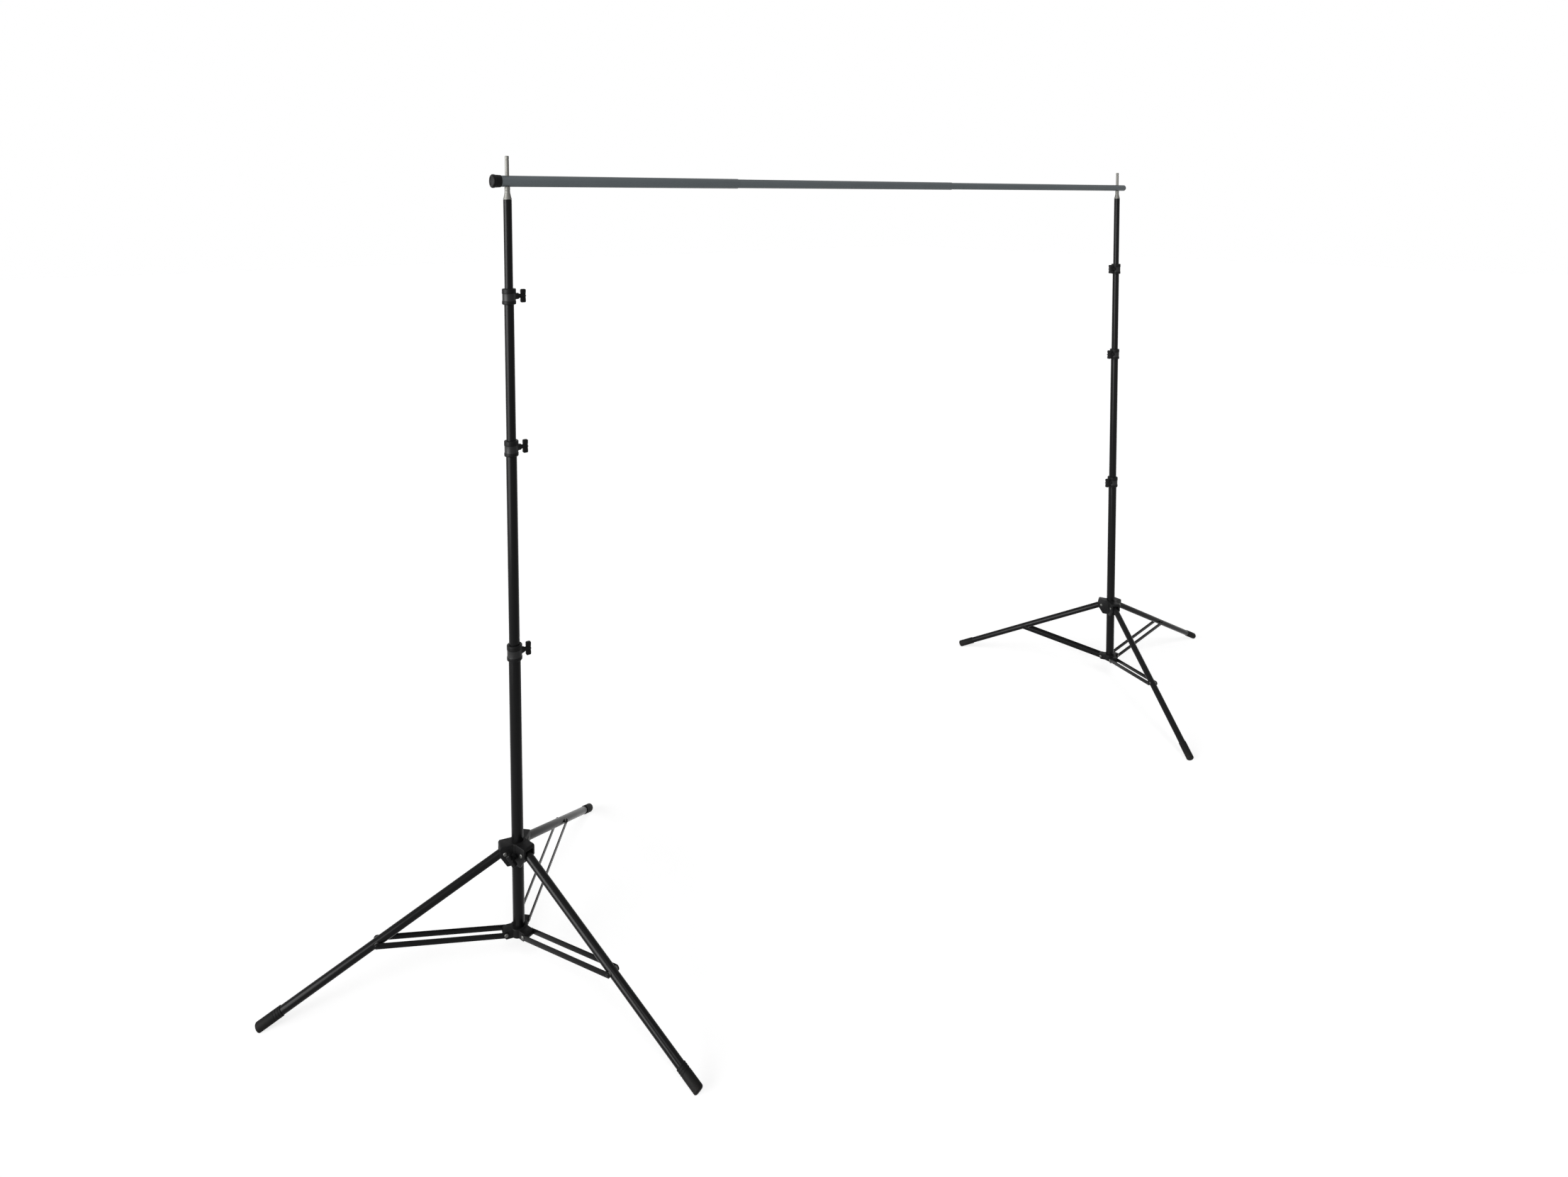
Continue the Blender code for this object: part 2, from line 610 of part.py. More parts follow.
def build_tripod(side, root, leg_names, surfaces, shared):
    """The base collar and the leg collar with the legs, feet and braces."""
    base_place = (0.0, 0.0, BASE_PIVOT_HEIGHT)
    place(f"{side}_base_collar", shared["base_collar"], surfaces["plastic"], root, base_place)
    collar_place = (0.0, 0.0, LEG_PIVOT_HEIGHT)
    place(f"{side}_leg_collar", shared["leg_collar"], surfaces["plastic"], root, collar_place)
    knob_reach = LEG_COLLAR_BOSS_END + FIT_GAP
    knob_place = (
        knob_reach * math.cos(LEG_KNOB_TURN),
        knob_reach * math.sin(LEG_KNOB_TURN),
        LEG_PIVOT_HEIGHT - LEG_COLLAR_KNOB_DROP,
    )
    knob_turn = (LEG_KNOB_TILT, 0.0, LEG_KNOB_TURN)
    place(f"{side}_leg_knob", shared["leg_knob"], surfaces["knob"], root, knob_place, knob_turn)
    for name, degrees in zip(leg_names, LEG_TURNS):
        around = math.radians(degrees)
        pivot = (LEG_PIVOT_REACH * math.cos(around), LEG_PIVOT_REACH * math.sin(around))
        leg_place = (*pivot, LEG_PIVOT_HEIGHT)
        leg_turn = (0.0, LEG_TILT, around)
        brace_place = (*pivot, BASE_PIVOT_HEIGHT)
        brace_turn = (0.0, -BRACE_TILT, around)
        place(f"{side}_leg_{name}", shared["leg"], surfaces["tube"], root, leg_place, leg_turn)
        place(f"{side}_foot_{name}", shared["foot"], surfaces["rubber"], root, leg_place, leg_turn)
        place(f"{side}_brace_{name}", shared["brace"], surfaces["tube"], root, brace_place, brace_turn)


def build_stand(side, parent, turn, legs_turn, outs, bar_radius, leg_names, surfaces, shared):
    """One tripod stand. outs holds how far each riser stands out above the rim of the tube below."""
    reach = PIN_SPACING / 2 * math.cos(turn)
    root = empty(f"{side}_stand", parent, (-reach, 0.0, 0.0), turn)
    rims = [COLUMN_TOP]
    for out in outs:
        rims.append(rims[-1] + out)
    build_mast(side, root, rims, surfaces, shared)
    spigot = spigot_mesh(f"{side}_spigot", TUBE_RADII[3], bar_radius)
    place(f"{side}_spigot", spigot, surfaces["steel"], root, (0.0, 0.0, rims[3]))
    tripod = empty(f"{side}_tripod", root, (0.0, 0.0, 0.0), legs_turn)
    build_tripod(side, tripod, leg_names, surfaces, shared)


def build_crossbar(parent, surfaces):
    """Three telescoping tubes, the cap on the left end and the plug in the right end."""
    outer_end = BAR_OUTER_TO_PIN
    middle_end = outer_end + BAR_MIDDLE_OUT
    inner_end = PIN_SPACING + BAR_RIGHT_OVERHANG
    root = empty("crossbar", parent, (-PIN_SPACING / 2, 0.0, BAR_HEIGHT), 0.0)
    outer = bar_mesh("bar_outer", 0, -BAR_LEFT_OVERHANG, outer_end, 0.0)
    middle = bar_mesh("bar_middle", 1, outer_end - BAR_HELD, middle_end, None)
    inner = bar_mesh("bar_inner", 2, middle_end - BAR_HELD, inner_end, PIN_SPACING)
    place("bar_outer", outer, surfaces["aluminium"], root, (0.0, 0.0, 0.0))
    place("bar_middle", middle, surfaces["aluminium"], root, (0.0, 0.0, 0.0))
    place("bar_inner", inner, surfaces["aluminium"], root, (0.0, 0.0, 0.0))
    place("bar_end_cap", end_cap_mesh(), surfaces["plastic"], root, (0.0, 0.0, 0.0))
    edge = END_PLUG_FLANGE / 2
    plug = plug_mesh("bar_end_plug", BAR_RADII[2], BAR_WALL, END_PLUG_FLANGE, END_PLUG_SPIGOT, edge)
    place("bar_end_plug", plug, surfaces["plastic"], root, (inner_end, 0.0, 0.0), (0.0, -math.pi / 2, 0.0))


def shared_meshes():
    """The meshes that both stands use."""
    made = {}
    made["column"] = tube_mesh("column", TUBE_RADII[0], TUBE_WALL, TUBE_LENGTHS[0], [TUBE_LENGTHS[0] - KNOB_DROP])
    for number in (1, 2):
        length = TUBE_LENGTHS[number]
        name = f"riser_{number}"
        made[name] = tube_mesh(name, TUBE_RADII[number], TUBE_WALL, length, [length - KNOB_DROP])
    made["riser_3"] = tube_mesh("riser_3", TUBE_RADII[3], TUBE_WALL, TUBE_LENGTHS[3], [])
    for number in (1, 2, 3):
        riser = TUBE_RADII[number]
        thickness = COLLAR_THICKNESS[number - 1]
        made[f"collar_{number}"] = collar_mesh(f"collar_{number}", TUBE_RADII[number - 1], riser, thickness)
        made[f"knob_{number}"] = knob_mesh(f"knob_{number}", BOSS_END - riser)
        made[f"guide_{number}"] = guide_mesh(f"guide_{number}", riser)
    made["leg_knob"] = knob_mesh("leg_knob", LEG_COLLAR_BOSS_END - COLUMN_RADIUS)
    made["bottom_plug"] = plug_mesh("bottom_plug", COLUMN_RADIUS, TUBE_WALL, PLUG_FLANGE, PLUG_SPIGOT, PLUG_FLANGE / 3)
    made["base_collar"] = base_collar_mesh()
    made["leg_collar"] = leg_collar_mesh()
    made["leg"] = leg_mesh()
    made["foot"] = foot_mesh()
    made["brace"] = brace_mesh()
    return made


def footprint_centre():
    """The middle of the rectangle on the floor that the object covers."""
    bpy.context.view_layer.update()
    pieces = [item for item in bpy.context.scene.objects if item.type == "MESH"]
    corners = [item.matrix_world @ vertex.co for item in pieces for vertex in item.data.vertices]
    xs = [corner.x for corner in corners]
    ys = [corner.y for corner in corners]
    return Vector(((min(xs) + max(xs)) / 2, (min(ys) + max(ys)) / 2, 0.0))


def main():
    for item in list(bpy.data.objects):
        bpy.data.objects.remove(item)
    surfaces = {
        "tube": material("black_enamel", (0.012, 0.012, 0.013), 0.28, 0.0),
        "plastic": material("black_plastic", (0.014, 0.014, 0.015), 0.45, 0.0),
        "knob": material("knob_plastic", (0.016, 0.016, 0.018), 0.40, 0.0),
        "nylon": material("grey_nylon", (0.30, 0.30, 0.30), 0.55, 0.0),
        "rubber": material("black_rubber", (0.010, 0.010, 0.010), 0.75, 0.0),
        "steel": material("bright_steel", (0.42, 0.42, 0.41), 0.30, 1.0),
        "aluminium": material("grey_aluminium", (0.17, 0.19, 0.20), 0.38, 1.0),
    }
    shared = shared_meshes()
    root = empty("backdrop_stand", None, (0.0, 0.0, 0.0), 0.0)
    left_outs = [RISER_1_OUT, LEFT_RISER_2_OUT, LEFT_RISER_3_OUT]
    right_outs = [RISER_1_OUT, RIGHT_RISER_2_OUT]
    right_top = BAR_HEIGHT - BAR_RADII[2] - FIT_GAP - SPIGOT_RISE
    right_outs.append(right_top - COLUMN_TOP - sum(right_outs))
    left_legs = ("back", "outer", "front")
    right_legs = ("front", "outer", "back")
    bars = (BAR_RADII[0], BAR_RADII[2])
    build_stand("left", root, 0.0, LEFT_LEGS_TURN, left_outs, bars[0], left_legs, surfaces, shared)
    build_stand("right", root, math.pi, RIGHT_LEGS_TURN, right_outs, bars[1], right_legs, surfaces, shared)
    build_crossbar(root, surfaces)
    root.location = -footprint_centre()


main()
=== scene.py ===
# %% [markdown]
# # A backdrop stand, dressed around its CAD frame
#
# The object is a pair of black telescopic tripod stands with a grey telescopic crossbar on their pins. The
# CAD model already holds every piece at its real size, with its joints. Here each piece gets a finer mesh
# in the same place and a finish made of nodes, and the whole gets the studio that a catalogue picture is
# taken in.
#
# The frame is loaded first, because everything else takes its place from it.

# %% Load the frame
import json
import math

import bmesh
import bpy
from mathutils import Matrix, Vector


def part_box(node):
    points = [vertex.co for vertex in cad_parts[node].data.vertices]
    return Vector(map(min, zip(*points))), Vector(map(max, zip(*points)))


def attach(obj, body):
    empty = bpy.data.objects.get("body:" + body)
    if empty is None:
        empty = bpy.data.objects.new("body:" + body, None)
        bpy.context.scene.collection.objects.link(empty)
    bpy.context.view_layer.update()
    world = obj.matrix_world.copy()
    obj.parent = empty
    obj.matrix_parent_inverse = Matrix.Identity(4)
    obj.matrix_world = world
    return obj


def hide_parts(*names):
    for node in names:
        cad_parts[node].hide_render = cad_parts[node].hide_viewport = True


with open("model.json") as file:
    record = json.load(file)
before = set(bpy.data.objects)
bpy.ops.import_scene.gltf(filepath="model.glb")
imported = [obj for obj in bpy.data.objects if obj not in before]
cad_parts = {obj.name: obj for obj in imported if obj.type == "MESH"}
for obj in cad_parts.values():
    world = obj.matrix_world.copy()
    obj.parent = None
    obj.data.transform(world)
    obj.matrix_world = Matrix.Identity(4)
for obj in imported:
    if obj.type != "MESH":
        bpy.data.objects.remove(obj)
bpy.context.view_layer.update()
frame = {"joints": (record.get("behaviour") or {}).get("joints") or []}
joints = {joint["name"]: joint for joint in frame["joints"]}

# %% [markdown]
# ## Where the pieces are
#
# Every joint in the record has a place and an axis, so the joints give each moving piece its own frame: X
# points away from the stand's axis, Z points up. A shape is then modelled once, at the origin, and placed
# many times. The two pins give the stands' axes.

# %% Frames from the joints
SIDES = ("left", "right")
LEGS = ("front", "outer", "back")
UP = Vector((0.0, 0.0, 1.0))
UPRIGHT = Matrix()
ALONG_X = Matrix.Rotation(math.pi / 2, 4, "Y")
ALONG_Y = Matrix.Rotation(-math.pi / 2, 4, "X")


def joint_place(name):
    """Where a joint's axis passes, in metres."""
    return Vector(joints[name]["pos_m"])


def joint_axis(name):
    """The direction of a joint's axis."""
    return Vector(joints[name]["axis"])


def outward_frame(origin, outward):
    """A frame at a place, with X along a level outward direction and Z up."""
    x = outward.normalized()
    turn = Matrix((x, UP.cross(x), UP)).transposed().to_4x4()
    return Matrix.Translation(origin) @ turn


def knob_frame(name):
    """The frame of a knob, whose axis points outward along its screw."""
    return outward_frame(joint_place(name), joint_axis(name))


def leg_frame(name):
    """The frame of a leg or brace hinge, whose axis runs level across the leg."""
    return outward_frame(joint_place(name), joint_axis(name).cross(UP))


def mast_frame(side):
    """The frame of a stand's axis, at floor level, with X along the screw of its collar knobs."""
    pin = joint_place(f"{side}_bar_swivel")
    return outward_frame((pin.x, pin.y, 0.0), joint_axis(f"{side}_knob_1_turn"))


def raised(height):
    """A move straight up."""
    return Matrix.Translation((0.0, 0.0, height))


for side in SIDES:
    print(side, "stand at", mast_frame(side).translation)

# %% [markdown]
# ## Shader maths in plain Python
#
# A finish is easier to read as a formula than as a list of links. This small class wraps a node's socket,
# so that adding or multiplying two of them adds the Math node. The reflected forms let a plain number stand
# on the left.

# %% A socket that does arithmetic
class Wire:
    """An output socket of a material's node tree."""

    def __init__(self, finish, socket):
        self.finish = finish
        self.socket = socket

    def _math(self, operation, first, second):
        return self.finish.node("ShaderNodeMath", {"operation": operation}, {0: first, 1: second})

    def __add__(self, other):
        return self._math("ADD", self, other)

    __radd__ = __add__

    def __mul__(self, other):
        return self._math("MULTIPLY", self, other)

    __rmul__ = __mul__


print("sockets can be added and multiplied")

# %% [markdown]
# The material itself is a second class. Its one method for nodes takes the node's type, its settings and
# what its sockets get, and short methods on top of it make the few patterns that the finishes share.

# %% A material to write formulas in
class Finish:
    """A node material around one Principled shader."""

    def __init__(self, name):
        self.material = bpy.data.materials.new(name)
        self.material.use_nodes = True
        self.tree = self.material.node_tree
        self.shader = self.tree.nodes["Principled BSDF"]

    def node(self, kind, settings=None, sockets=None, output=0):
        """Adds a node: first its settings, then the values or wires of its sockets."""
        made = self.tree.nodes.new(kind)
        for key, value in (settings or {}).items():
            if key == "stops":
                self._stops(made.color_ramp, value)
            else:
                setattr(made, key, value)
        for key, value in (sockets or {}).items():
            self._set(made.inputs[key], value)
        return Wire(self, made.outputs[output])

    def _stops(self, ramp, stops):
        while len(ramp.elements) < len(stops):
            ramp.elements.new(1.0)
        for element, (position, shade) in zip(ramp.elements, stops):
            element.position = position
            element.color = (shade, shade, shade, 1.0)

    def _set(self, socket, value):
        if isinstance(value, Wire):
            self.tree.links.new(value.socket, socket)
        else:
            socket.default_value = value

    def give(self, values):
        """Sets the Principled shader's sockets by their names."""
        for key, value in values.items():
            self._set(self.shader.inputs[key], value)

    def own_place(self, stretch):
        """The piece's own coordinates, in metres, kept in the attribute that every shape here carries."""
        point = self.node("ShaderNodeAttribute", {"attribute_name": "own_place"}, {}, "Vector")
        return self.node("ShaderNodeMapping", {}, {"Vector": point, "Scale": stretch})

    def noise(self, scale, detail=2.0, stretch=(1.0, 1.0, 1.0)):
        """A noise over the piece, finer with a larger scale and longer where the stretch is small."""
        sockets = {"Vector": self.own_place(stretch), "Scale": scale, "Detail": detail}
        return self.node("ShaderNodeTexNoise", {}, sockets)

    def ramp(self, wire, stops):
        """A ramp of greys, as pairs of a position and a shade."""
        return self.node("ShaderNodeValToRGB", {"stops": stops}, {0: wire})

    def blend(self, factor, first, second):
        """A mix of two colours, which this node takes in its sockets 6 and 7."""
        sockets = {0: factor, 6: (*first, 1.0), 7: (*second, 1.0)}
        return self.node("ShaderNodeMix", {"data_type": "RGBA"}, sockets, 2)

    def bump(self, height, strength, distance):
        """Small relief, as deep as the distance in metres at full strength."""
        sockets = {"Height": height, "Strength": strength, "Distance": distance}
        self.give({"Normal": self.node("ShaderNodeBump", {}, sockets)})


print("shader maths ready")

# %% [markdown]
# ## Black enamel
#
# The tubes, legs and braces are steel under a baked black enamel, between satin and gloss. The spray leaves
# a fine orange peel, and sliding and packing leave long faint rubs along the tube. So the roughness follows
# a noise that is stretched along the piece, and a very small bump breaks up the reflections.

# %% Enamel
def enamel_finish(name, shade, gloss):
    """Black enamel: a shade of grey, slightly blue, that is paler and rougher where it is rubbed."""
    finish = Finish(name)
    rubs = finish.noise(scale=420.0, detail=3.0, stretch=(1.0, 1.0, 0.03))
    cloud = finish.noise(scale=18.0, detail=3.0)
    worn = finish.ramp(rubs, [(0.50, 0.0), (0.78, 1.0)])
    dark = (shade, shade, shade * 1.04)
    light = (shade * 1.4, shade * 1.4, shade * 1.4)
    finish.give({"Base Color": finish.blend(worn * 0.6, dark, light)})
    finish.give({"Roughness": gloss + worn * 0.08 + cloud * 0.06, "Specular IOR Level": 0.075})
    finish.bump(finish.noise(scale=1500.0), strength=0.03, distance=0.0004)
    return finish.material


enamel = enamel_finish("black_enamel", shade=0.0095, gloss=0.19)
print("finish", enamel.name)

# %% [markdown]
# ## Moulded plastic
#
# The collars, knobs, plugs and caps are injection moulded. Their mould was spark eroded, which leaves a
# fine even grain, so they look softer than the enamel beside them. Handling leaves faint paler patches.

# %% Plastic and nylon
MOULDED_BLACK = (0.0100, 0.0100, 0.0103)
BAND_BLACK = (0.0240, 0.0240, 0.0246)
KNOB_BLACK = (0.0110, 0.0110, 0.0113)
GUIDE_GREY = (0.30, 0.30, 0.29)


def plastic_finish(name, colour, roughness, grain, shine):
    """Moulded plastic: a colour with paler, duller patches, and the fine grain of its mould."""
    finish = Finish(name)
    handled = finish.noise(scale=70.0, detail=3.0)
    shift = finish.ramp(handled, [(0.35, 0.0), (0.75, 1.0)])
    pale = tuple(value * 1.5 for value in colour)
    finish.give({"Base Color": finish.blend(shift * 0.5, colour, pale)})
    finish.give({"Roughness": roughness + 0.10 * handled, "Specular IOR Level": shine})
    finish.bump(finish.noise(scale=2600.0), strength=grain, distance=0.0003)
    return finish.material


plastic = plastic_finish("moulded_plastic", MOULDED_BLACK, roughness=0.36, grain=0.10, shine=0.07)
band_plastic = plastic_finish("collar_band_plastic", BAND_BLACK, roughness=0.32, grain=0.06, shine=0.14)
knob_plastic = plastic_finish("knob_plastic", KNOB_BLACK, roughness=0.36, grain=0.08, shine=0.07)
nylon = plastic_finish("guide_nylon", GUIDE_GREY, roughness=0.50, grain=0.05, shine=0.50)
print("finishes", plastic.name, band_plastic.name, knob_plastic.name, nylon.name)

# %% [markdown]
# ## Rubber
#
# The caps on the legs are soft rubber. It scatters light, gathers dust near the floor, and never shines, so
# the roughness stays high and a pale cloud of dust shows in the lower part of each cap. The dust could be
# painted on, but the height above the floor gives it with one ramp.

# %% Rubber
RUBBER_BLACK = (0.0110, 0.0110, 0.0110)
FLOOR_DUST = (0.046, 0.043, 0.039)
DUST_HEIGHT = 0.04


def rubber_finish(name):
    """Dull rubber, with dust that thins out up to the dust height above the floor."""
    finish = Finish(name)
    where = finish.node("ShaderNodeTexCoord", {}, {}, "Object")
    height = finish.node("ShaderNodeSeparateXYZ", {}, {0: where}, "Z")
    low = finish.ramp(height * (1.0 / DUST_HEIGHT), [(0.0, 1.0), (0.9, 0.0)])
    dust = finish.noise(scale=260.0, detail=4.0) * low
    finish.give({"Base Color": finish.blend(dust * 0.7, RUBBER_BLACK, FLOOR_DUST)})
    finish.give({"Roughness": 0.58 + 0.25 * dust, "Specular IOR Level": 0.06})
    finish.bump(finish.noise(scale=1800.0, detail=3.0), strength=0.18, distance=0.0004)
    return finish.material


rubber = rubber_finish("cap_rubber")
print("finish", rubber.name)

# %% [markdown]
# ## Bare metal
#
# The crossbar is drawn aluminium tube with a dull grey anodised skin: drawing leaves fine lines along it.
# The spigots and rivets are bare steel, turned or pressed, and a turned piece has fine rings round it. Both
# are the same noise, stretched along the piece in one and round it in the other.

# %% Aluminium and steel
DRAWN = (1.0, 1.0, 0.012)
TURNED = (0.05, 0.05, 2.0)


def metal_finish(name, colour, pale, roughness, stretch, depth):
    """Bare metal between two colours, with fine lines that are stretched as the tool left them."""
    finish = Finish(name)
    lines = finish.noise(scale=900.0, detail=3.0, stretch=stretch)
    cloud = finish.noise(scale=9.0, detail=3.0)
    finish.give({"Base Color": finish.blend(lines * 0.5 + cloud * 0.4, colour, pale), "Metallic": 1.0})
    finish.give({"Roughness": roughness + 0.12 * lines})
    finish.bump(lines, strength=depth, distance=0.0003)
    return finish.material


aluminium = metal_finish(
    "drawn_aluminium",
    colour=(0.072, 0.083, 0.089),
    pale=(0.115, 0.128, 0.135),
    roughness=0.48,
    stretch=DRAWN,
    depth=0.10,
)
steel = metal_finish(
    "turned_steel",
    colour=(0.115, 0.115, 0.107),
    pale=(0.165, 0.162, 0.150),
    roughness=0.50,
    stretch=TURNED,
    depth=0.06,
)
rivet_steel = metal_finish(
    "rivet_steel",
    colour=(0.075, 0.075, 0.072),
    pale=(0.110, 0.110, 0.106),
    roughness=0.42,
    stretch=TURNED,
    depth=0.05,
)
print("finishes", aluminium.name, steel.name, rivet_steel.name)

# %% [markdown]
# ## From shape to piece
#
# A shape is modelled at the origin and kept as a mesh that no object uses. Placing it copies the mesh and
# moves the copy's vertices, so that every finished object sits at the origin with its place in its mesh.
# Before that, each point's own place is written to an attribute, which the finishes above read. Tubes and
# turned pieces are modelled along Z, so the drawn lines follow a leg wherever the leg points.

# %% Shapes and pieces
MERGE_DISTANCE = 1e-6
SHARP_ANGLE = math.radians(35.0)


def shape_from(mesh_in_hand, name):
    """Turns a bmesh into a finished shape, whose points remember where they are in it."""
    bmesh.ops.remove_doubles(mesh_in_hand, verts=mesh_in_hand.verts, dist=MERGE_DISTANCE)
    bmesh.ops.recalc_face_normals(mesh_in_hand, faces=mesh_in_hand.faces)
    mesh = bpy.data.meshes.new(name)
    mesh_in_hand.to_mesh(mesh)
    mesh_in_hand.free()
    own = mesh.attributes.new("own_place", "FLOAT_VECTOR", "POINT")
    for vertex, value in zip(mesh.vertices, own.data):
        value.vector = vertex.co
    mesh.shade_smooth()
    mesh.set_sharp_from_angle(angle=SHARP_ANGLE)
    return mesh


def place(name, shape, where, finish, body, nodes=()):
    """Puts a copy of a shape in the frame, makes it ride on its body and stand for its CAD nodes."""
    mesh = shape.copy()
    mesh.name = name
    mesh.transform(where)
    mesh.materials.append(finish)
    piece = bpy.data.objects.new(name, mesh)
    bpy.context.scene.collection.objects.link(piece)
    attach(piece, body)
    if nodes:
        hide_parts(*nodes)
    return piece


print("pieces are sharp above", round(math.degrees(SHARP_ANGLE)), "degrees")

# %% [markdown]
# ## Turned outlines
#
# Most of the stand is round, so most shapes are an outline turned about Z, as on a lathe. No real edge is
# perfectly sharp, and a rounded one catches a thin line of light, so the outline's corners are rounded
# before it is turned. Pieces that seat in each other keep a small gap, as in the CAD model.

# %% Lathe work
GAP = 0.0003
FINE = 64
SEAM_DISTANCE = 1e-7
LONGEST_SHARE = 0.45
ON_AXIS = 1e-9
TOO_SHORT = 1e-5


def spun(outline, sides, closed=True):
    """Revolves an outline of (radius, height) points round Z. A closed outline makes a ring or tube."""
    shape = bmesh.new()
    points = [shape.verts.new((radius, 0.0, height)) for radius, height in outline]
    ends = points[1:] + points[:1] if closed else points[1:]
    for start, end in zip(points, ends):
        shape.edges.new((start, end))
    bmesh.ops.spin(
        shape,
        geom=shape.verts[:] + shape.edges[:],
        cent=(0.0, 0.0, 0.0),
        axis=UP,
        angle=2 * math.pi,
        steps=sides,
        use_merge=True,
    )
    bmesh.ops.remove_doubles(shape, verts=shape.verts[:], dist=SEAM_DISTANCE)
    return shape


def softened(outline, rounding, steps=3):
    """Rounds every corner of a closed (radius, height) outline, but leaves points on the axis alone."""
    rounded = []
    for number, point in enumerate(outline):
        corner = Vector(point)
        before = Vector(outline[number - 1]) - corner
        after = Vector(outline[(number + 1) % len(outline)]) - corner
        reach = min(rounding, before.length * LONGEST_SHARE, after.length * LONGEST_SHARE)
        if corner.x < ON_AXIS or reach < TOO_SHORT:
            rounded.append(tuple(corner))
            continue
        first = corner + before.normalized() * reach
        last = corner + after.normalized() * reach
        for step in range(steps + 1):
            share = step / steps
            rounded.append(tuple(first.lerp(corner, share).lerp(corner.lerp(last, share), share)))
    return rounded


def rod(radius, low, high, sides, turn=UPRIGHT):
    """A plain cylinder from low to high along Z, then turned."""
    shape = bmesh.new()
    bmesh.ops.create_cone(
        shape,
        cap_ends=True,
        segments=sides,
        radius1=radius,
        radius2=radius,
        depth=high - low,
        matrix=turn @ raised((low + high) / 2),
    )
    return shape


def moved(shape, matrix):
    """The same bmesh, moved or turned."""
    bmesh.ops.transform(shape, matrix=matrix, verts=shape.verts)
    return shape


print("round pieces have", FINE, "sides and a clearance of", GAP)

# %% [markdown]
# ## Cutting and joining
#
# Holes, slots, lugs and bosses are solids of their own, which Boolean modifiers take from a piece or add to
# it. The modifiers need objects, so each solid gets one for a moment. Cutters reach well past what they
# cut, so that no two faces lie in each other.

# %% Booleans
THROUGH = 0.08


def temporary(mesh_in_hand, name):
    """An object that lives only while Boolean modifiers shape a piece."""
    bmesh.ops.recalc_face_normals(mesh_in_hand, faces=mesh_in_hand.faces)
    mesh = bpy.data.meshes.new(name)
    mesh_in_hand.to_mesh(mesh)
    mesh_in_hand.free()
    made = bpy.data.objects.new(name, mesh)
    bpy.context.scene.collection.objects.link(made)
    return made


def carved(base, added=(), removed=()):
    """Joins and cuts bmeshes with exact Booleans, and gives the result as a bmesh."""
    body = temporary(base, "carving")
    tools = []
    for operation, group in (("UNION", added), ("DIFFERENCE", removed)):
        for item in group:
            tool = temporary(item, "carving_tool")
            tools.append(tool)
            modifier = body.modifiers.new("carve", "BOOLEAN")
            modifier.operation = operation
            modifier.solver = "EXACT"
            modifier.object = tool
    bpy.context.view_layer.update()
    evaluated = body.evaluated_get(bpy.context.evaluated_depsgraph_get())
    mesh = bpy.data.meshes.new_from_object(evaluated)
    result = bmesh.new()
    result.from_mesh(mesh)
    bpy.data.meshes.remove(mesh)
    for item in [body] + tools:
        bpy.data.objects.remove(item)
    return result


print("cutters reach", THROUGH, "m")

# %% [markdown]
# ## Camera and studio
#
# The photograph was taken from the left, a little below the height of the pins. The camera is almost level
# and its lens is shifted down, which keeps the upright tubes nearly parallel. The numbers come from fitting
# a pinhole camera to the picture: the lens, its shift, the place and the three turns.

# %% Camera
PHOTO_WIDTH = 2212
PHOTO_HEIGHT = 1661
FOCAL_PIXELS = 1352.3
PRINCIPAL = (1023.1, 356.7)
SENSOR_WIDTH = 36.0
EYE = Vector((-0.916, -2.261, 1.937))
YAW = math.radians(34.82)
PITCH = math.radians(-2.85)
ROLL = math.radians(-0.257)


def photo_camera():
    """The camera's turn from its yaw, pitch and roll, at a place counted from the left stand's axis."""
    ahead = Vector((math.sin(YAW) * math.cos(PITCH), math.cos(YAW) * math.cos(PITCH), math.sin(PITCH)))
    level_right = ahead.cross(UP).normalized()
    level_up = level_right.cross(ahead)
    right = level_right * math.cos(ROLL) + level_up * math.sin(ROLL)
    up = level_up * math.cos(ROLL) - level_right * math.sin(ROLL)
    turn = Matrix((right, up, -ahead)).transposed().to_4x4()
    return Matrix.Translation(mast_frame("left").translation + EYE) @ turn


def studio_object(name, data, where=UPRIGHT):
    """Puts a camera, a light or the floor in the scene."""
    made = bpy.data.objects.new(name, data)
    made.matrix_world = where
    bpy.context.scene.collection.objects.link(made)
    return made


lens = bpy.data.cameras.new("photo_camera")
lens.sensor_width = SENSOR_WIDTH
lens.sensor_fit = "HORIZONTAL"
lens.lens = FOCAL_PIXELS / PHOTO_WIDTH * SENSOR_WIDTH
lens.shift_x = (PHOTO_WIDTH / 2 - PRINCIPAL[0]) / PHOTO_WIDTH
lens.shift_y = (PRINCIPAL[1] - PHOTO_HEIGHT / 2) / PHOTO_WIDTH
bpy.context.scene.camera = studio_object("photo_camera", lens, photo_camera())
bpy.context.scene.view_settings.view_transform = "Standard"
print(f"lens {lens.lens:.1f} mm, shift {lens.shift_x:.3f} {lens.shift_y:.3f}")

# %% [markdown]
# The picture has a pure white ground, so the world is white where the camera looks straight at it, and
# gloss and bare metal mirror the same white. To everything else the world gives a weak even light, and the
# lights further down give the rest.

# %% World
AMBIENT = 0.08


def white_to(tree):
    """One for rays from the camera, from gloss and through glass, and nought for all others."""
    path = tree.nodes.new("ShaderNodeLightPath")
    total = path.outputs["Is Camera Ray"]
    for kind in ("Is Glossy Ray", "Is Transmission Ray"):
        either = tree.nodes.new("ShaderNodeMath")
        either.operation = "MAXIMUM"
        tree.links.new(total, either.inputs[0])
        tree.links.new(path.outputs[kind], either.inputs[1])
        total = either.outputs[0]
    return total


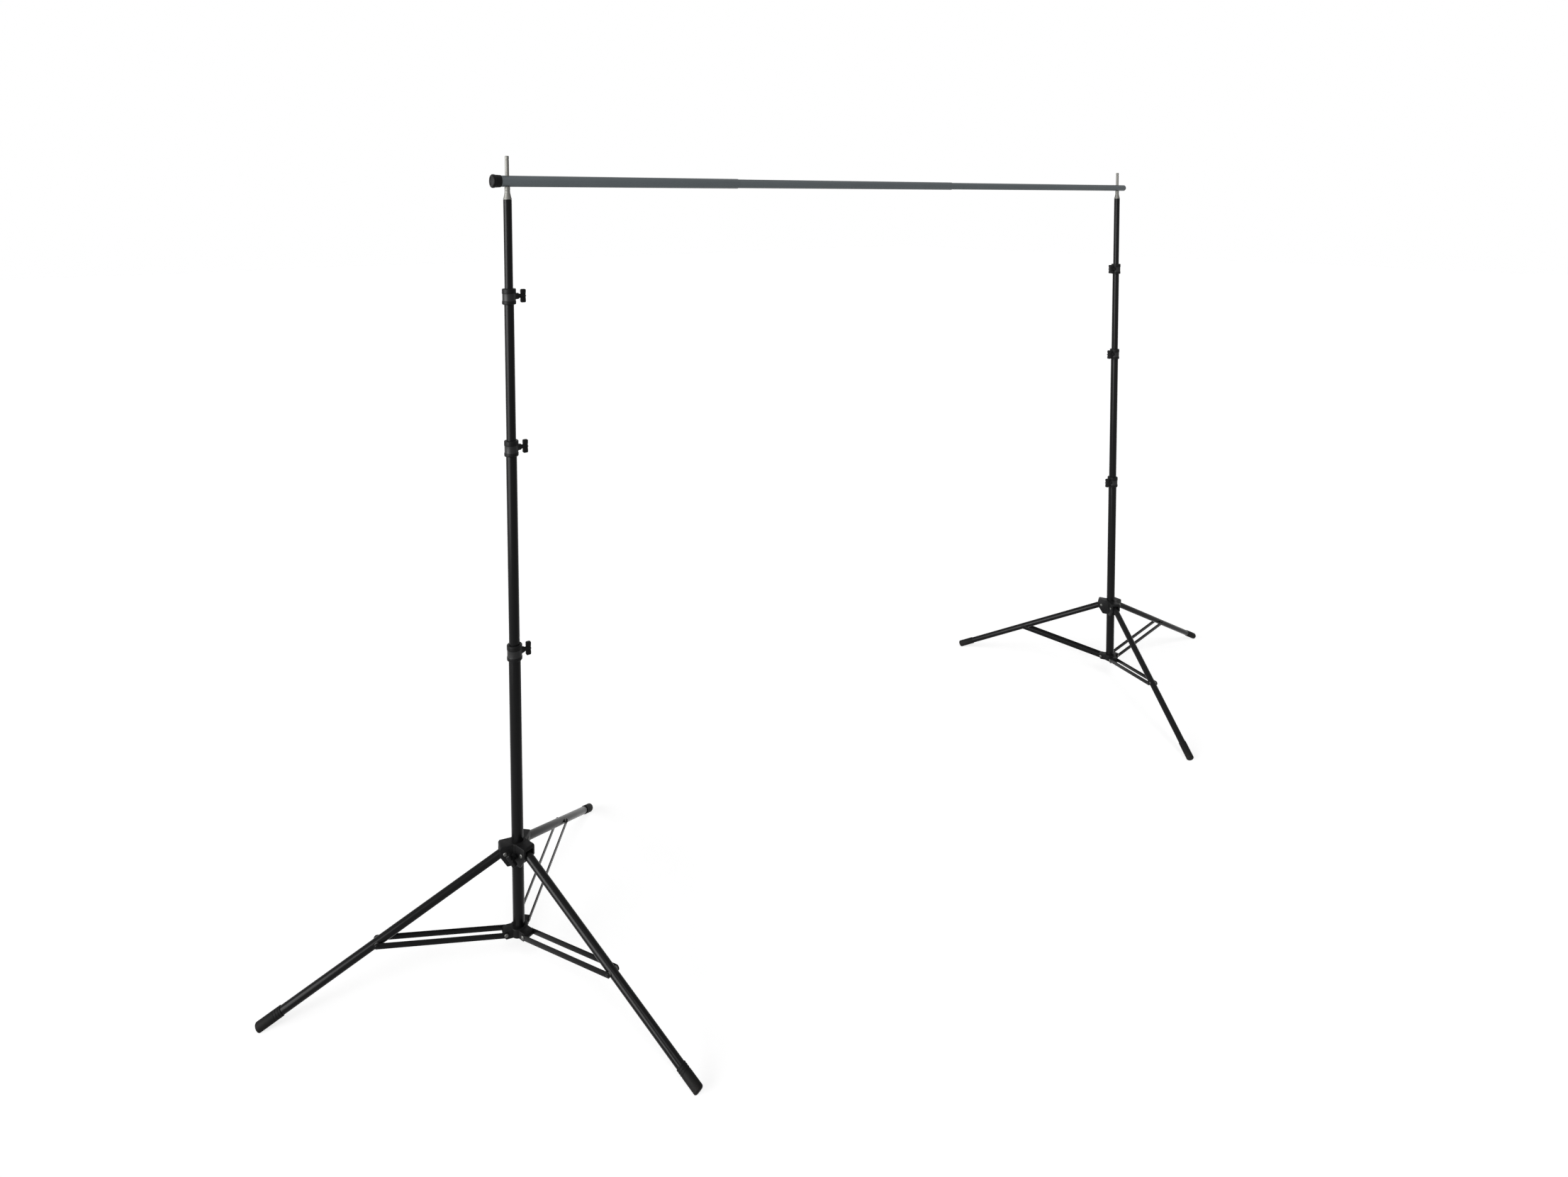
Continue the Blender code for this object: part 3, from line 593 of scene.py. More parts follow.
def studio_world():
    """White to the camera and to gloss, and a weak even light to the rest."""
    world = bpy.data.worlds.new("studio")
    bpy.context.scene.world = world
    world.use_nodes = True
    tree = world.node_tree
    choose = tree.nodes.new("ShaderNodeMix")
    tree.links.new(white_to(tree), choose.inputs[0])
    choose.inputs[2].default_value = AMBIENT
    choose.inputs[3].default_value = 1.0
    background = tree.nodes["Background"]
    background.inputs["Color"].default_value = (1.0, 1.0, 1.0, 1.0)
    tree.links.new(choose.outputs[0], background.inputs["Strength"])


studio_world()
print("white world, ambient light", AMBIENT)

# %% [markdown]
# The floor is a white sheet just below the feet. It glows for the rays that see the world white, so that it
# meets the world without an edge, and it keeps the stands' faint shadow.

# %% Floor
FLOOR_REACH = 30.0
FLOOR_DROP = 0.0005
FLOOR_SHADE = 0.50
FLOOR_GLOW = 0.80

floor_shape = bmesh.new()
bmesh.ops.create_grid(floor_shape, x_segments=1, y_segments=1, size=FLOOR_REACH)
moved(floor_shape, raised(-FLOOR_DROP))
floor_mesh = bpy.data.meshes.new("studio_floor")
floor_shape.to_mesh(floor_mesh)
floor_shape.free()
floor = studio_object("studio_floor", floor_mesh)

white = Finish("studio_floor")
seen = Wire(white, white_to(white.tree))
glow = white.blend(seen, (0.0, 0.0, 0.0), (FLOOR_GLOW, FLOOR_GLOW, FLOOR_GLOW))
white.give({"Base Color": (FLOOR_SHADE, FLOOR_SHADE, FLOOR_SHADE, 1.0)})
white.give({"Roughness": 0.9, "Specular IOR Level": 0.0})
white.give({"Emission Color": glow, "Emission Strength": 1.0})
floor_mesh.materials.append(white.material)
print("white floor, shade", FLOOR_SHADE, "and glow", FLOOR_GLOW)

# %% [markdown]
# Two soft lights do the rest: one from the left, almost level, and one from above. Black enamel takes its
# shape from what it mirrors, so a tall soft box stands on the left as well. It shows in gloss alone, as a
# broad stripe along the left half of the upper tubes. The lowest tubes mirror the floor instead, because
# the camera looks down on them.

# %% Soft lights
def soft_light(name, from_where, strength, spread):
    """A distant light as wide as a big soft box, so that near and far pieces get the same light."""
    light = bpy.data.lights.new(name, "SUN")
    light.energy = strength
    light.angle = math.radians(spread)
    aim = Vector(from_where).to_track_quat("Z", "Y")
    studio_object(name, light, aim.to_matrix().to_4x4())


def mirrored_box(name, centre, target, width, height, power):
    """A soft box that faces a target and shows in gloss alone."""
    light = bpy.data.lights.new(name, "AREA")
    light.shape = "RECTANGLE"
    light.size = width
    light.size_y = height
    light.energy = power
    aim = (Vector(target) - Vector(centre)).to_track_quat("-Z", "Y")
    lamp = studio_object(name, light, Matrix.Translation(centre) @ aim.to_matrix().to_4x4())
    lamp.visible_diffuse = False


soft_light("left_light", from_where=(-0.98, 0.00, 0.17), strength=3.2, spread=50.0)
soft_light("top_light", from_where=(-0.35, -0.60, 1.00), strength=0.7, spread=26.0)
mirrored_box(
    "left_box",
    centre=(-4.90, -0.55, 1.55),
    target=(-1.30, 0.0, 1.55),
    width=3.4,
    height=3.0,
    power=300.0,
)
print("two soft lights and a soft box")

# %% [markdown]
# ## Mast tubes
#
# A stand's mast is four steel tubes, each sliding in the one below. Each is a ring outline turned round the
# axis: outer wall, inner wall, and rims rounded where the maker breaks the sharp edge. Where a clamp screw
# goes through, the wall is drilled. Their lengths come from the CAD.

# %% Column and risers
TUBE_RADII = (0.0150, 0.0135, 0.0120, 0.0105)
TUBE_WALL = 0.0012
TUBE_NAMES = ("column", "riser_1", "riser_2", "riser_3")
TOP_TUBE = TUBE_NAMES[-1]
COLLAR_HEIGHT = 0.040
COLLAR_LIP = 0.008
KNOB_DROP = COLLAR_HEIGHT / 2 - COLLAR_LIP
SCREW_RADIUS = 0.003
RIM_SHARE = 0.4


def tube(radius, wall, low, high):
    """A tube along Z with rounded rims."""
    bore = radius - wall
    outline = [(bore, low), (radius, low), (radius, high), (bore, high)]
    return spun(softened(outline, rounding=wall * RIM_SHARE), FINE)


def drill(radius, height):
    """A cutter along X from the axis, at a height."""
    return rod(radius, 0.0, THROUGH, 32, raised(height) @ ALONG_X)


rims = {}
for number, tube_name in enumerate(TUBE_NAMES):
    low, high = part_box(f"left_{tube_name}")
    length = high.z - low.z
    made = tube(TUBE_RADII[number], TUBE_WALL, 0.0, length)
    if tube_name != TOP_TUBE:
        made = carved(made, removed=[drill(SCREW_RADIUS + 2 * GAP, length - KNOB_DROP)])
    shape = shape_from(made, tube_name)
    for side in SIDES:
        node = f"{side}_{tube_name}"
        low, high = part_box(node)
        rims[node] = high.z
        where = mast_frame(side) @ raised(low.z)
        place(f"{node}_tube", shape, where, enamel, node, [node])
print("rims at", {name: round(height, 3) for name, height in rims.items()})

# %% [markdown]
# ## Clamp collars
#
# Each collar is a moulded sleeve over the top of a tube, with a lip that stops on the tube's rim and a boss
# for the clamp screw. The photo shows dark lips above and below and a paler, shinier band between them. The
# sleeve and the boss are turned as solids, joined, and then bored, which keeps the Boolean free of faces
# that lie in each other.

# %% Collar solids
COLLAR_THICKNESS = (0.0043, 0.0043, 0.0054)
COLLAR_ROUND = 0.0016
BAND_LOW = -0.0225
BAND_HIGH = -0.0050
BAND_SUNK = 0.0008
BAND_SLOPE = 0.0006
BOSS_END = 0.025
BOSS_RADIUS = 0.0085
BOSS_FLARE = 0.0026
BOSS_TAPER = 0.0008
BOSS_ROOT_DEPTH = 0.0022
BOSS_NECK = 0.0006


def collar_solid(outer):
    """The outside of the sleeve: two rounded lips, with the sunken band between them."""
    bottom = COLLAR_LIP - COLLAR_HEIGHT
    sunk = outer - BAND_SUNK
    outline = [
        (0.0, bottom),
        (outer - COLLAR_ROUND, bottom),
        (outer, bottom + COLLAR_ROUND),
        (outer, BAND_LOW - BAND_SLOPE),
        (sunk, BAND_LOW),
        (sunk, BAND_HIGH),
        (outer, BAND_HIGH + BAND_SLOPE),
        (outer, COLLAR_LIP - COLLAR_ROUND),
        (outer - COLLAR_ROUND, COLLAR_LIP),
        (0.0, COLLAR_LIP),
    ]
    return spun(softened(outline, rounding=0.0008), FINE, closed=False)


def boss_solid(outer, end, radius, height):
    """The boss along X: a flared root in the sleeve and a cone to a round-edged face."""
    outline = [
        (0.0, 0.0),
        (radius + BOSS_FLARE, 0.0),
        (radius + BOSS_FLARE - BOSS_TAPER, outer - BOSS_ROOT_DEPTH),
        (radius - BOSS_TAPER / 4, outer + BOSS_NECK),
        (radius - BOSS_TAPER, end),
        (0.0, end),
    ]
    return moved(spun(softened(outline, rounding=0.0012), 48, closed=False), raised(height) @ ALONG_X)


print("band from", BAND_LOW, "to", BAND_HIGH, "where the rim is at 0")

# %% [markdown]
# The band is the same moulding with another surface, so it is not a piece of its own. Its faces get a
# second material, picked by where they lie.

# %% Collars
def marked_band(shape, outer):
    """Gives the faces of the sunken band the second material."""
    for face in shape.polygons:
        centre = face.center
        distance = math.hypot(centre.x, centre.y)
        if BAND_LOW < centre.z < BAND_HIGH and outer - 1.5 * BAND_SUNK < distance < outer:
            face.material_index = 1
    return shape


collar_shapes = []
for number in range(3):
    outer = TUBE_RADII[number] + COLLAR_THICKNESS[number]
    boss = boss_solid(outer, BOSS_END, BOSS_RADIUS, -KNOB_DROP)
    cutters = [
        rod(TUBE_RADII[number] + GAP, -THROUGH, GAP, FINE),
        rod(TUBE_RADII[number + 1] + GAP, -THROUGH, THROUGH, FINE),
        drill(SCREW_RADIUS + GAP, -KNOB_DROP),
    ]
    made = carved(collar_solid(outer), added=[boss], removed=cutters)
    collar_shapes.append(marked_band(shape_from(made, f"collar_{number + 1}"), outer))

for side in SIDES:
    for number, shape in enumerate(collar_shapes, 1):
        body = f"{side}_{TUBE_NAMES[number - 1]}"
        where = mast_frame(side) @ raised(rims[body])
        node = f"{side}_collar_{number}"
        piece = place(f"{node}_sleeve", shape, where, plastic, body, [node])
        piece.data.materials.append(band_plastic)
print("collar faces", [len(shape.polygons) for shape in collar_shapes])

# %% [markdown]
# ## T knobs
#
# A clamp knob is a moulded T: a stem and a bar for two fingers. Seen along the screw the bar is drawn in at
# its middle, so it starts as a block that is cut into slices, and the slices are squeezed before all edges
# are rounded.

# %% Rounded edges
def round_edges(shape, steeper_than, offset, segments):
    """Bevels the edges whose faces meet at more than an angle in degrees."""
    steep = math.radians(steeper_than)
    bmesh.ops.bevel(
        shape,
        geom=[edge for edge in shape.edges if edge.calc_face_angle() > steep],
        offset=offset,
        segments=segments,
        profile=0.5,
        affect="EDGES",
        material=-1,
    )


print("edges can be rounded")

# %% Knob handle
KNOB_HUB_RADIUS = 0.0060
KNOB_HUB_LENGTH = 0.0055
KNOB_BAR_HEIGHT = 0.0340
KNOB_BAR_DEPTH = 0.0125
KNOB_BAR_WIDTH = 0.0115
KNOB_BAR_WAIST = 0.0080
KNOB_WAIST_REACH = 0.0110
KNOB_WAIST_SLICES = 8
KNOB_ROUND = 0.0028


def knob_bar():
    """The bar of the T, along Z, with its inner face at the end of the hub."""
    shape = bmesh.new()
    bmesh.ops.create_cube(shape, size=1.0)
    bmesh.ops.scale(shape, vec=(KNOB_BAR_DEPTH, KNOB_BAR_WIDTH, KNOB_BAR_HEIGHT), verts=shape.verts)
    for number in range(KNOB_WAIST_SLICES + 1):
        bmesh.ops.bisect_plane(
            shape,
            geom=shape.verts[:] + shape.edges[:] + shape.faces[:],
            plane_co=(0.0, 0.0, KNOB_WAIST_REACH * (2 * number / KNOB_WAIST_SLICES - 1)),
            plane_no=UP,
        )
    for vertex in shape.verts:
        share = min(1.0, abs(vertex.co.z) / KNOB_WAIST_REACH)
        waist = (1.0 + math.cos(math.pi * share)) / 2
        vertex.co.y *= 1.0 - waist * (1.0 - KNOB_BAR_WAIST / KNOB_BAR_WIDTH)
    round_edges(shape, steeper_than=40, offset=KNOB_ROUND, segments=4)
    return moved(shape, Matrix.Translation((KNOB_HUB_LENGTH + KNOB_BAR_DEPTH / 2, 0.0, 0.0)))


def knob_stem():
    """The stem: a small flange against the boss, a slight waist, and a flare into the bar."""
    bar_middle = KNOB_HUB_LENGTH + KNOB_BAR_DEPTH / 2
    outline = [
        (0.0, 0.0),
        (KNOB_HUB_RADIUS, 0.0),
        (KNOB_HUB_RADIUS, 0.0014),
        (KNOB_HUB_RADIUS - 0.0007, 0.0026),
        (KNOB_HUB_RADIUS - 0.0006, KNOB_HUB_LENGTH - 0.0008),
        (KNOB_HUB_RADIUS, KNOB_HUB_LENGTH + 0.0010),
        (KNOB_HUB_RADIUS - 0.0010, bar_middle),
        (0.0, bar_middle + 0.0010),
    ]
    return moved(spun(softened(outline, rounding=0.0005, steps=2), 40, closed=False), ALONG_X)


knob_shape = shape_from(carved(knob_stem(), added=[knob_bar()]), "knob")
print("knob faces", len(knob_shape.polygons))

# %% [markdown]
# The clamp screw is a steel stud moulded into the stem. It is turned as a row of sharp rings, which reads
# as a thread at this size and needs no helix. It ends at the wall of the tube that it clamps.

# %% Knobs and clamp screws
THREAD_PITCH = 0.0010
THREAD_DEPTH = 0.0005
SCREW_SEAT = 0.0010
SCREW_TIP = 0.0020
SCREW_CHAMFER = 0.0006
LEG_COLLAR_BOSS_END = 0.029
LEG_KNOB_TILT = math.radians(35.0)


def clamp_screw(length):
    """A threaded stud that starts in the knob's stem and runs back from it."""
    root = SCREW_RADIUS - THREAD_DEPTH
    outline = [(0.0, SCREW_SEAT), (root, SCREW_SEAT)]
    turns = int((length - SCREW_TIP) / THREAD_PITCH)
    for turn in range(turns):
        start = -turn * THREAD_PITCH
        outline.append((root, start))
        outline.append((SCREW_RADIUS, start - THREAD_PITCH / 2))
    outline += [(root, -turns * THREAD_PITCH), (root - SCREW_CHAMFER, -length), (0.0, -length)]
    return moved(spun(outline, 24, closed=False), ALONG_X)


def clamp_knob(body, where, boss_end, tube_radius):
    """A handle that stands on its boss, and its screw."""
    screw = shape_from(clamp_screw(boss_end - tube_radius), "clamp_screw")
    place(f"{body}_handle", knob_shape, where, knob_plastic, body, [body])
    place(f"{body}_screw", screw, where, rivet_steel, body)


for side in SIDES:
    for number in (1, 2, 3):
        body = f"{side}_knob_{number}"
        clamp_knob(body, knob_frame(f"{body}_turn"), BOSS_END, TUBE_RADII[number])
    body = f"{side}_leg_knob"
    where = knob_frame(f"{body}_turn") @ Matrix.Rotation(LEG_KNOB_TILT, 4, "X")
    clamp_knob(body, where, LEG_COLLAR_BOSS_END, TUBE_RADII[0])
print("screws reach", [round(BOSS_END - radius, 4) for radius in TUBE_RADII[1:]])

# %% [markdown]
# ## Guides and bottom plugs
#
# A nylon ring in each riser's lower end runs in the bore of the tube outside, and a plug closes the
# column's foot. They are small turned parts that show when a riser is pulled out or the stand is seen from
# below, so a simple outline is enough for each.

# %% Guides and plugs
GUIDE_FLANGE = 0.004
GUIDE_SPIGOT = 0.014
GUIDE_WALL = 0.0015


def guide_ring(radius):
    """The nylon ring, with its flange below the riser's end."""
    spigot = radius - TUBE_WALL - GAP
    bore = spigot - GUIDE_WALL
    outline = [
        (bore, -GUIDE_FLANGE - GAP),
        (radius, -GUIDE_FLANGE - GAP),
        (radius, -GAP),
        (spigot, -GAP),
        (spigot, GUIDE_SPIGOT),
        (bore, GUIDE_SPIGOT),
    ]
    return spun(softened(outline, rounding=0.0004, steps=2), FINE)


def flanged_plug(radius, wall, flange, spigot):
    """A plug for a tube's end at height 0, with a dished face below."""
    inner = radius - wall - GAP
    dish = -flange * 0.55
    outline = [
        (0.0, dish),
        (radius * 0.55, dish),
        (radius * 0.62, -flange - GAP),
        (radius, -flange - GAP),
        (radius, -GAP),
        (inner, -GAP),
        (inner, spigot),
        (0.0, spigot),
    ]
    return spun(softened(outline, rounding=0.0007), FINE, closed=False)


plug_shape = shape_from(flanged_plug(TUBE_RADII[0], TUBE_WALL, flange=0.003, spigot=0.014), "bottom_plug")
for number in (1, 2, 3):
    guide_shape = shape_from(guide_ring(TUBE_RADII[number]), f"guide_{number}")
    for side in SIDES:
        body = f"{side}_riser_{number}"
        where = mast_frame(side) @ raised(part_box(body)[0].z)
        node = f"{side}_guide_{number}"
        place(f"{node}_ring", guide_shape, where, nylon, body, [node])
for side in SIDES:
    body = f"{side}_column"
    where = mast_frame(side) @ raised(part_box(body)[0].z)
    node = f"{side}_bottom_plug"
    place(f"{node}_disc", plug_shape, where, plastic, body, [node])
print("guide and plug faces", len(guide_shape.polygons), len(plug_shape.polygons))

# %% [markdown]
# ## Spigots
#
# On top of each mast sits a turned steel spigot: a plug in the tube, a cone, a neck that carries the
# crossbar and a pin that goes through the bar's cross hole. It is one outline, with the small grooves and
# broken edges that a lathe leaves.

# %% Spigots
SPIGOT_PLUG = 0.035
SPIGOT_CONE = 0.017
SPIGOT_NECK = 0.014
SPIGOT_NECK_RADIUS = 0.0068
SPIGOT_SHOULDER = 0.0022
GROOVE_DEPTH = 0.0005
NECK_GROOVE = 0.0040
PIN_RADIUS = 0.005
PIN_ABOVE_BAR = 0.049
PIN_CHAMFER = 0.0012
PIN_GROOVE = 0.0110
BAR_RADII = (0.0140, 0.0127, 0.0114)


def groove(radius, low, high, slope):
    """The four points of a shallow groove between two heights, from bottom to top."""
    bottom = radius - GROOVE_DEPTH
    return [(radius, low), (bottom, low + slope), (bottom, high - slope), (radius, high)]


def spigot_outline(bar_radius):
    """From the plug in the tube to the tip of the pin."""
    tube_radius = TUBE_RADII[3]
    plug = tube_radius - TUBE_WALL - GAP
    shoulder = SPIGOT_CONE + SPIGOT_NECK
    tip = shoulder + 2 * bar_radius + PIN_ABOVE_BAR
    neck_groove = SPIGOT_CONE + NECK_GROOVE
    pin_groove = tip - PIN_GROOVE
    return [
        (0.0, -SPIGOT_PLUG),
        (plug, -SPIGOT_PLUG),
        (plug, GAP),
        (tube_radius, GAP),
        (tube_radius, GAP + SPIGOT_SHOULDER),
        (tube_radius - 0.0006, GAP + SPIGOT_SHOULDER + 0.0006),
        (SPIGOT_NECK_RADIUS, SPIGOT_CONE),
        *groove(SPIGOT_NECK_RADIUS, neck_groove, neck_groove + 0.0022, slope=0.0006),
        (SPIGOT_NECK_RADIUS, shoulder),
        (PIN_RADIUS, shoulder),
        *groove(PIN_RADIUS, pin_groove, pin_groove + 0.0025, slope=0.0005),
        (PIN_RADIUS, tip - PIN_CHAMFER),
        (PIN_RADIUS - PIN_CHAMFER, tip),
        (0.0, tip),
    ]


for side, bar_radius in (("left", BAR_RADII[0]), ("right", BAR_RADII[2])):
    outline = softened(spigot_outline(bar_radius), rounding=0.0003, steps=2)
    shape = shape_from(spun(outline, 48, closed=False), "spigot")
    body = f"{side}_riser_3"
    where = mast_frame(side) @ raised(rims[body])
    place(f"{side}_spigot_turning", shape, where, steel, body, [f"{side}_spigot"])
    print(side, "pin's tip at", round(max(vertex.co.z for vertex in shape.vertices) + rims[body], 4))

# %% [markdown]
# ## Leg collar
#
# The sliding collar is the stand's most intricate moulding: a thick sleeve with three hooded forks. Each
# fork straddles a leg's end, and its roof stops the leg. Each fork starts as a slab with rounded edges, cut
# from a side view. The slots and the bore are cut after all three are joined to the sleeve.

# %% Slabs from a side view
def slab(outline, low, high, turn=UPRIGHT):
    """Extrudes an outline of (x, z) points along Y, with sharp edges."""
    shape = bmesh.new()
    face = shape.faces.new([shape.verts.new((x, low, z)) for x, z in outline])
    made = bmesh.ops.extrude_face_region(shape, geom=[face])
    far_side = [item for item in made["geom"] if isinstance(item, bmesh.types.BMVert)]
    bmesh.ops.translate(shape, vec=(0.0, high - low, 0.0), verts=far_side)
    bmesh.ops.recalc_face_normals(shape, faces=shape.faces)
    return moved(shape, turn)


def rounded_slab(outline, low, high, offset, segments=3, turn=UPRIGHT):
    """A slab whose edges are rounded before it is turned."""
    shape = slab(outline, low, high)
    round_edges(shape, steeper_than=30, offset=offset, segments=segments)
    return moved(shape, turn)


def arc(centre, radius, start, end, steps):
    """Points on an arc, with angles in degrees."""
    across, up = centre
    angles = [math.radians(start + (end - start) * step / steps) for step in range(steps + 1)]
    return [(across + radius * math.cos(angle), up + radius * math.sin(angle)) for angle in angles]


def turned_by(degrees):
    """A turn round Z."""
    return Matrix.Rotation(math.radians(degrees), 4, "Z")


print("slabs ready")

# %% Leg collar moulding
EAR_OUTER = 0.0170
EAR_REACH = 0.0470
EAR_CORNER = 0.0035
EAR_ROUND = 0.0014
LEG_COLLAR_RISE = 0.0200
LEG_COLLAR_DROP = 0.0340
SLEEVE_RADIUS = 0.0215
SLEEVE_ROUND = 0.0016
SLEEVE_PROUD = 0.0004
HUB_REACH = 0.0340
LEG_RADIUS = 0.0110
HOOD_CLEARANCE = 0.0015
LEG_COLLAR_KNOB_DROP = 0.0080
LEG_TURNS = (60.0, 180.0, 300.0)
LEG_KNOB_TURN = 240.0
RIVET_HEAD_RADIUS = 0.0052


def sleeve_solid(low, high):
    """The outside of a thick sleeve round the column."""
    outline = [(0.0, low), (SLEEVE_RADIUS, low), (SLEEVE_RADIUS, high), (0.0, high)]
    return spun(softened(outline, rounding=SLEEVE_ROUND), FINE, closed=False)


def leg_collar_solid():
    """The collar in its own frame: axis up, pivots at height 0, forks at the three leg turns."""
    sleeve = sleeve_solid(-LEG_COLLAR_DROP - SLEEVE_PROUD, LEG_COLLAR_RISE + 1.5 * SLEEVE_PROUD)
    ear = [
        (0.0, -LEG_COLLAR_DROP),
        (HUB_REACH - RIVET_HEAD_RADIUS, -LEG_COLLAR_DROP),
        (EAR_REACH, -RIVET_HEAD_RADIUS),
        (EAR_REACH, LEG_COLLAR_RISE - EAR_CORNER),
        (EAR_REACH - EAR_CORNER, LEG_COLLAR_RISE),
        (0.0, LEG_COLLAR_RISE),
    ]
    start = HUB_REACH - LEG_RADIUS - HOOD_CLEARANCE
    roof = LEG_RADIUS + HOOD_CLEARANCE
    slot = [(start, -THROUGH), (THROUGH, -THROUGH), (THROUGH, roof), (start, roof)]
    half_slot = LEG_RADIUS + GAP
    added = []
    removed = []
    for turn in map(turned_by, LEG_TURNS):
        added.append(rounded_slab(ear, -EAR_OUTER, EAR_OUTER, EAR_ROUND, turn=turn))
        removed.append(slab(slot, -half_slot, half_slot, turn))
    knob_turn = turned_by(LEG_KNOB_TURN)
    boss = boss_solid(SLEEVE_RADIUS, LEG_COLLAR_BOSS_END, BOSS_RADIUS - 0.0004, -LEG_COLLAR_KNOB_DROP)
    added.append(moved(boss, knob_turn))
    removed.append(rod(TUBE_RADII[0] + GAP, -THROUGH, THROUGH, FINE))
    removed.append(moved(drill(SCREW_RADIUS + GAP, -LEG_COLLAR_KNOB_DROP), knob_turn))
    return carved(sleeve, added, removed)


leg_collar_shape = shape_from(leg_collar_solid(), "leg_collar")
print("leg collar faces", len(leg_collar_shape.polygons))

# %% [markdown]
# Each leg hangs in its fork on a steel rivet with a domed head on either side. The pin between them is
# mostly hidden, so a plain rod does for it.

# %% Rivets
RIVET_RADIUS = 0.003
RIVET_HEAD_HEIGHT = 0.0022
RIVET_SEAT = 0.0004


def rivet_heads(face):
    """Two domed heads along Y, on faces this far to either side of the middle."""
    inside = face - RIVET_SEAT
    height = RIVET_SEAT + RIVET_HEAD_HEIGHT
    dome = [
        (0.0, inside),
        (RIVET_HEAD_RADIUS, inside),
        (RIVET_HEAD_RADIUS, inside + height * 0.35),
        (RIVET_HEAD_RADIUS * 0.82, inside + height * 0.80),
        (RIVET_HEAD_RADIUS * 0.45, inside + height),
        (0.0, inside + height),
    ]
    heads = bmesh.new()
    for turn in (ALONG_Y, Matrix.Rotation(math.pi, 4, "X") @ ALONG_Y):
        head = moved(spun(softened(dome, rounding=0.0005, steps=2), 28, closed=False), turn)
        mesh = bpy.data.meshes.new("rivet_head")
        head.to_mesh(mesh)
        head.free()
        heads.from_mesh(mesh)
        bpy.data.meshes.remove(mesh)
    return heads


def rivet_pin(face):
    """The pin between the two heads."""
    return rod(RIVET_RADIUS, -face, face, 24, ALONG_Y)


leg_rivet = shape_from(rivet_heads(EAR_OUTER), "leg_rivet")
leg_pin = shape_from(rivet_pin(EAR_OUTER), "leg_pin")
print("rivet faces", len(leg_rivet.polygons) + len(leg_pin.polygons))

# %% [markdown]
# The moulding has its forks at fixed turns, so it is placed in a frame that one leg's hinge gives. The
# right stand is turned about half round, so there the legs come in the opposite order.

# %% Leg collars
FIRST_LEG = {"left": "back", "right": "front"}
pivot_height = joint_place("left_leg_outer_hinge").z


def tripod_frame(side):
    """A stand's frame, turned so that its first leg stands at the first leg turn."""
    hinge = joint_place(f"{side}_leg_{FIRST_LEG[side]}_hinge")
    stand = mast_frame(side).translation
    outward = hinge - Vector((stand.x, stand.y, hinge.z))
    return outward_frame(stand, turned_by(-LEG_TURNS[0]).to_3x3() @ outward)


for side in SIDES:
    body = f"{side}_leg_collar"
    where = tripod_frame(side) @ raised(pivot_height)
    place(f"{body}_moulding", leg_collar_shape, where, plastic, body, [body])
    for leg in LEGS:
        hinge = leg_frame(f"{side}_leg_{leg}_hinge")
        place(f"{side}_leg_rivet_{leg}", leg_rivet, hinge, rivet_steel, body)
        place(f"{side}_leg_pin_{leg}", leg_pin, hinge, rivet_steel, body)
print("leg pivots at", round(pivot_height, 4))

# %% [markdown]
# ## Base collar
#
# The collar at the column's foot is fixed. It has one round-nosed lug for each brace, and the brace's two
# bars straddle the lug on a rivet. The leg collar's turned sleeve and slabs make it too, with the lugs'
# holes drilled last.

# %% Base collars
BASE_COLLAR_RISE = 0.010
BASE_COLLAR_DROP = 0.013
BASE_LUG_RADIUS = 0.0085
BASE_LUG_ROUND = 0.0008
BRACE_GAUGE = 0.014
base_pivot_height = joint_place("left_brace_outer_hinge").z


def base_collar_solid():
    """The collar in its own frame: axis up, pivots at height 0, lugs at the three leg turns."""
    lug_bottom = SLEEVE_PROUD - BASE_COLLAR_DROP
    side_view = [(0.0, BASE_LUG_RADIUS), (0.0, lug_bottom), (HUB_REACH, lug_bottom)]
    side_view += arc((HUB_REACH, 0.0), BASE_LUG_RADIUS, -60, 90, 16)
    half = BRACE_GAUGE - GAP
    lugs = []
    cutters = [rod(TUBE_RADII[0] + GAP, -THROUGH, THROUGH, FINE)]
    for turn in map(turned_by, LEG_TURNS):
        lugs.append(rounded_slab(side_view, -half, half, BASE_LUG_ROUND, turn=turn))
        pivot = turn @ Matrix.Translation((HUB_REACH, 0.0, 0.0)) @ ALONG_Y
        cutters.append(rod(RIVET_RADIUS + GAP, -THROUGH, THROUGH, 24, pivot))
    return carved(sleeve_solid(-BASE_COLLAR_DROP, BASE_COLLAR_RISE), lugs, cutters)


base_collar_shape = shape_from(base_collar_solid(), "base_collar")
for side in SIDES:
    where = tripod_frame(side) @ raised(base_pivot_height)
    node = f"{side}_base_collar"
    place(f"{node}_moulding", base_collar_shape, where, plastic, f"{side}_column", [node])
print("base collar faces", len(base_collar_shape.polygons))

# %% [markdown]
# ## Legs
#
# A leg is a steel tube with a plastic nose pressed into its top end, which turns in the fork of the collar.
# A steel bush runs across the leg where the brace meets it. Each is modelled along Z and placed by the
# leg's hinge and its tilt.

# %% Legs
LEG_WALL = 0.0012
LEG_LENGTH = 0.6440
LEG_TILT = math.radians(26.4)
LEG_SOLID_TOP = 0.0300
BRACE_ON_LEG = 0.3450
BUSH_RADIUS = 0.0060
BUSH_CLEARANCE = 0.0001
BUSH_ROUND = 0.0008
FOOT_END = 0.0060
NOSE_END = 0.0060
LEG_DOWN = Matrix.Rotation(LEG_TILT, 4, "Y") @ ALONG_X


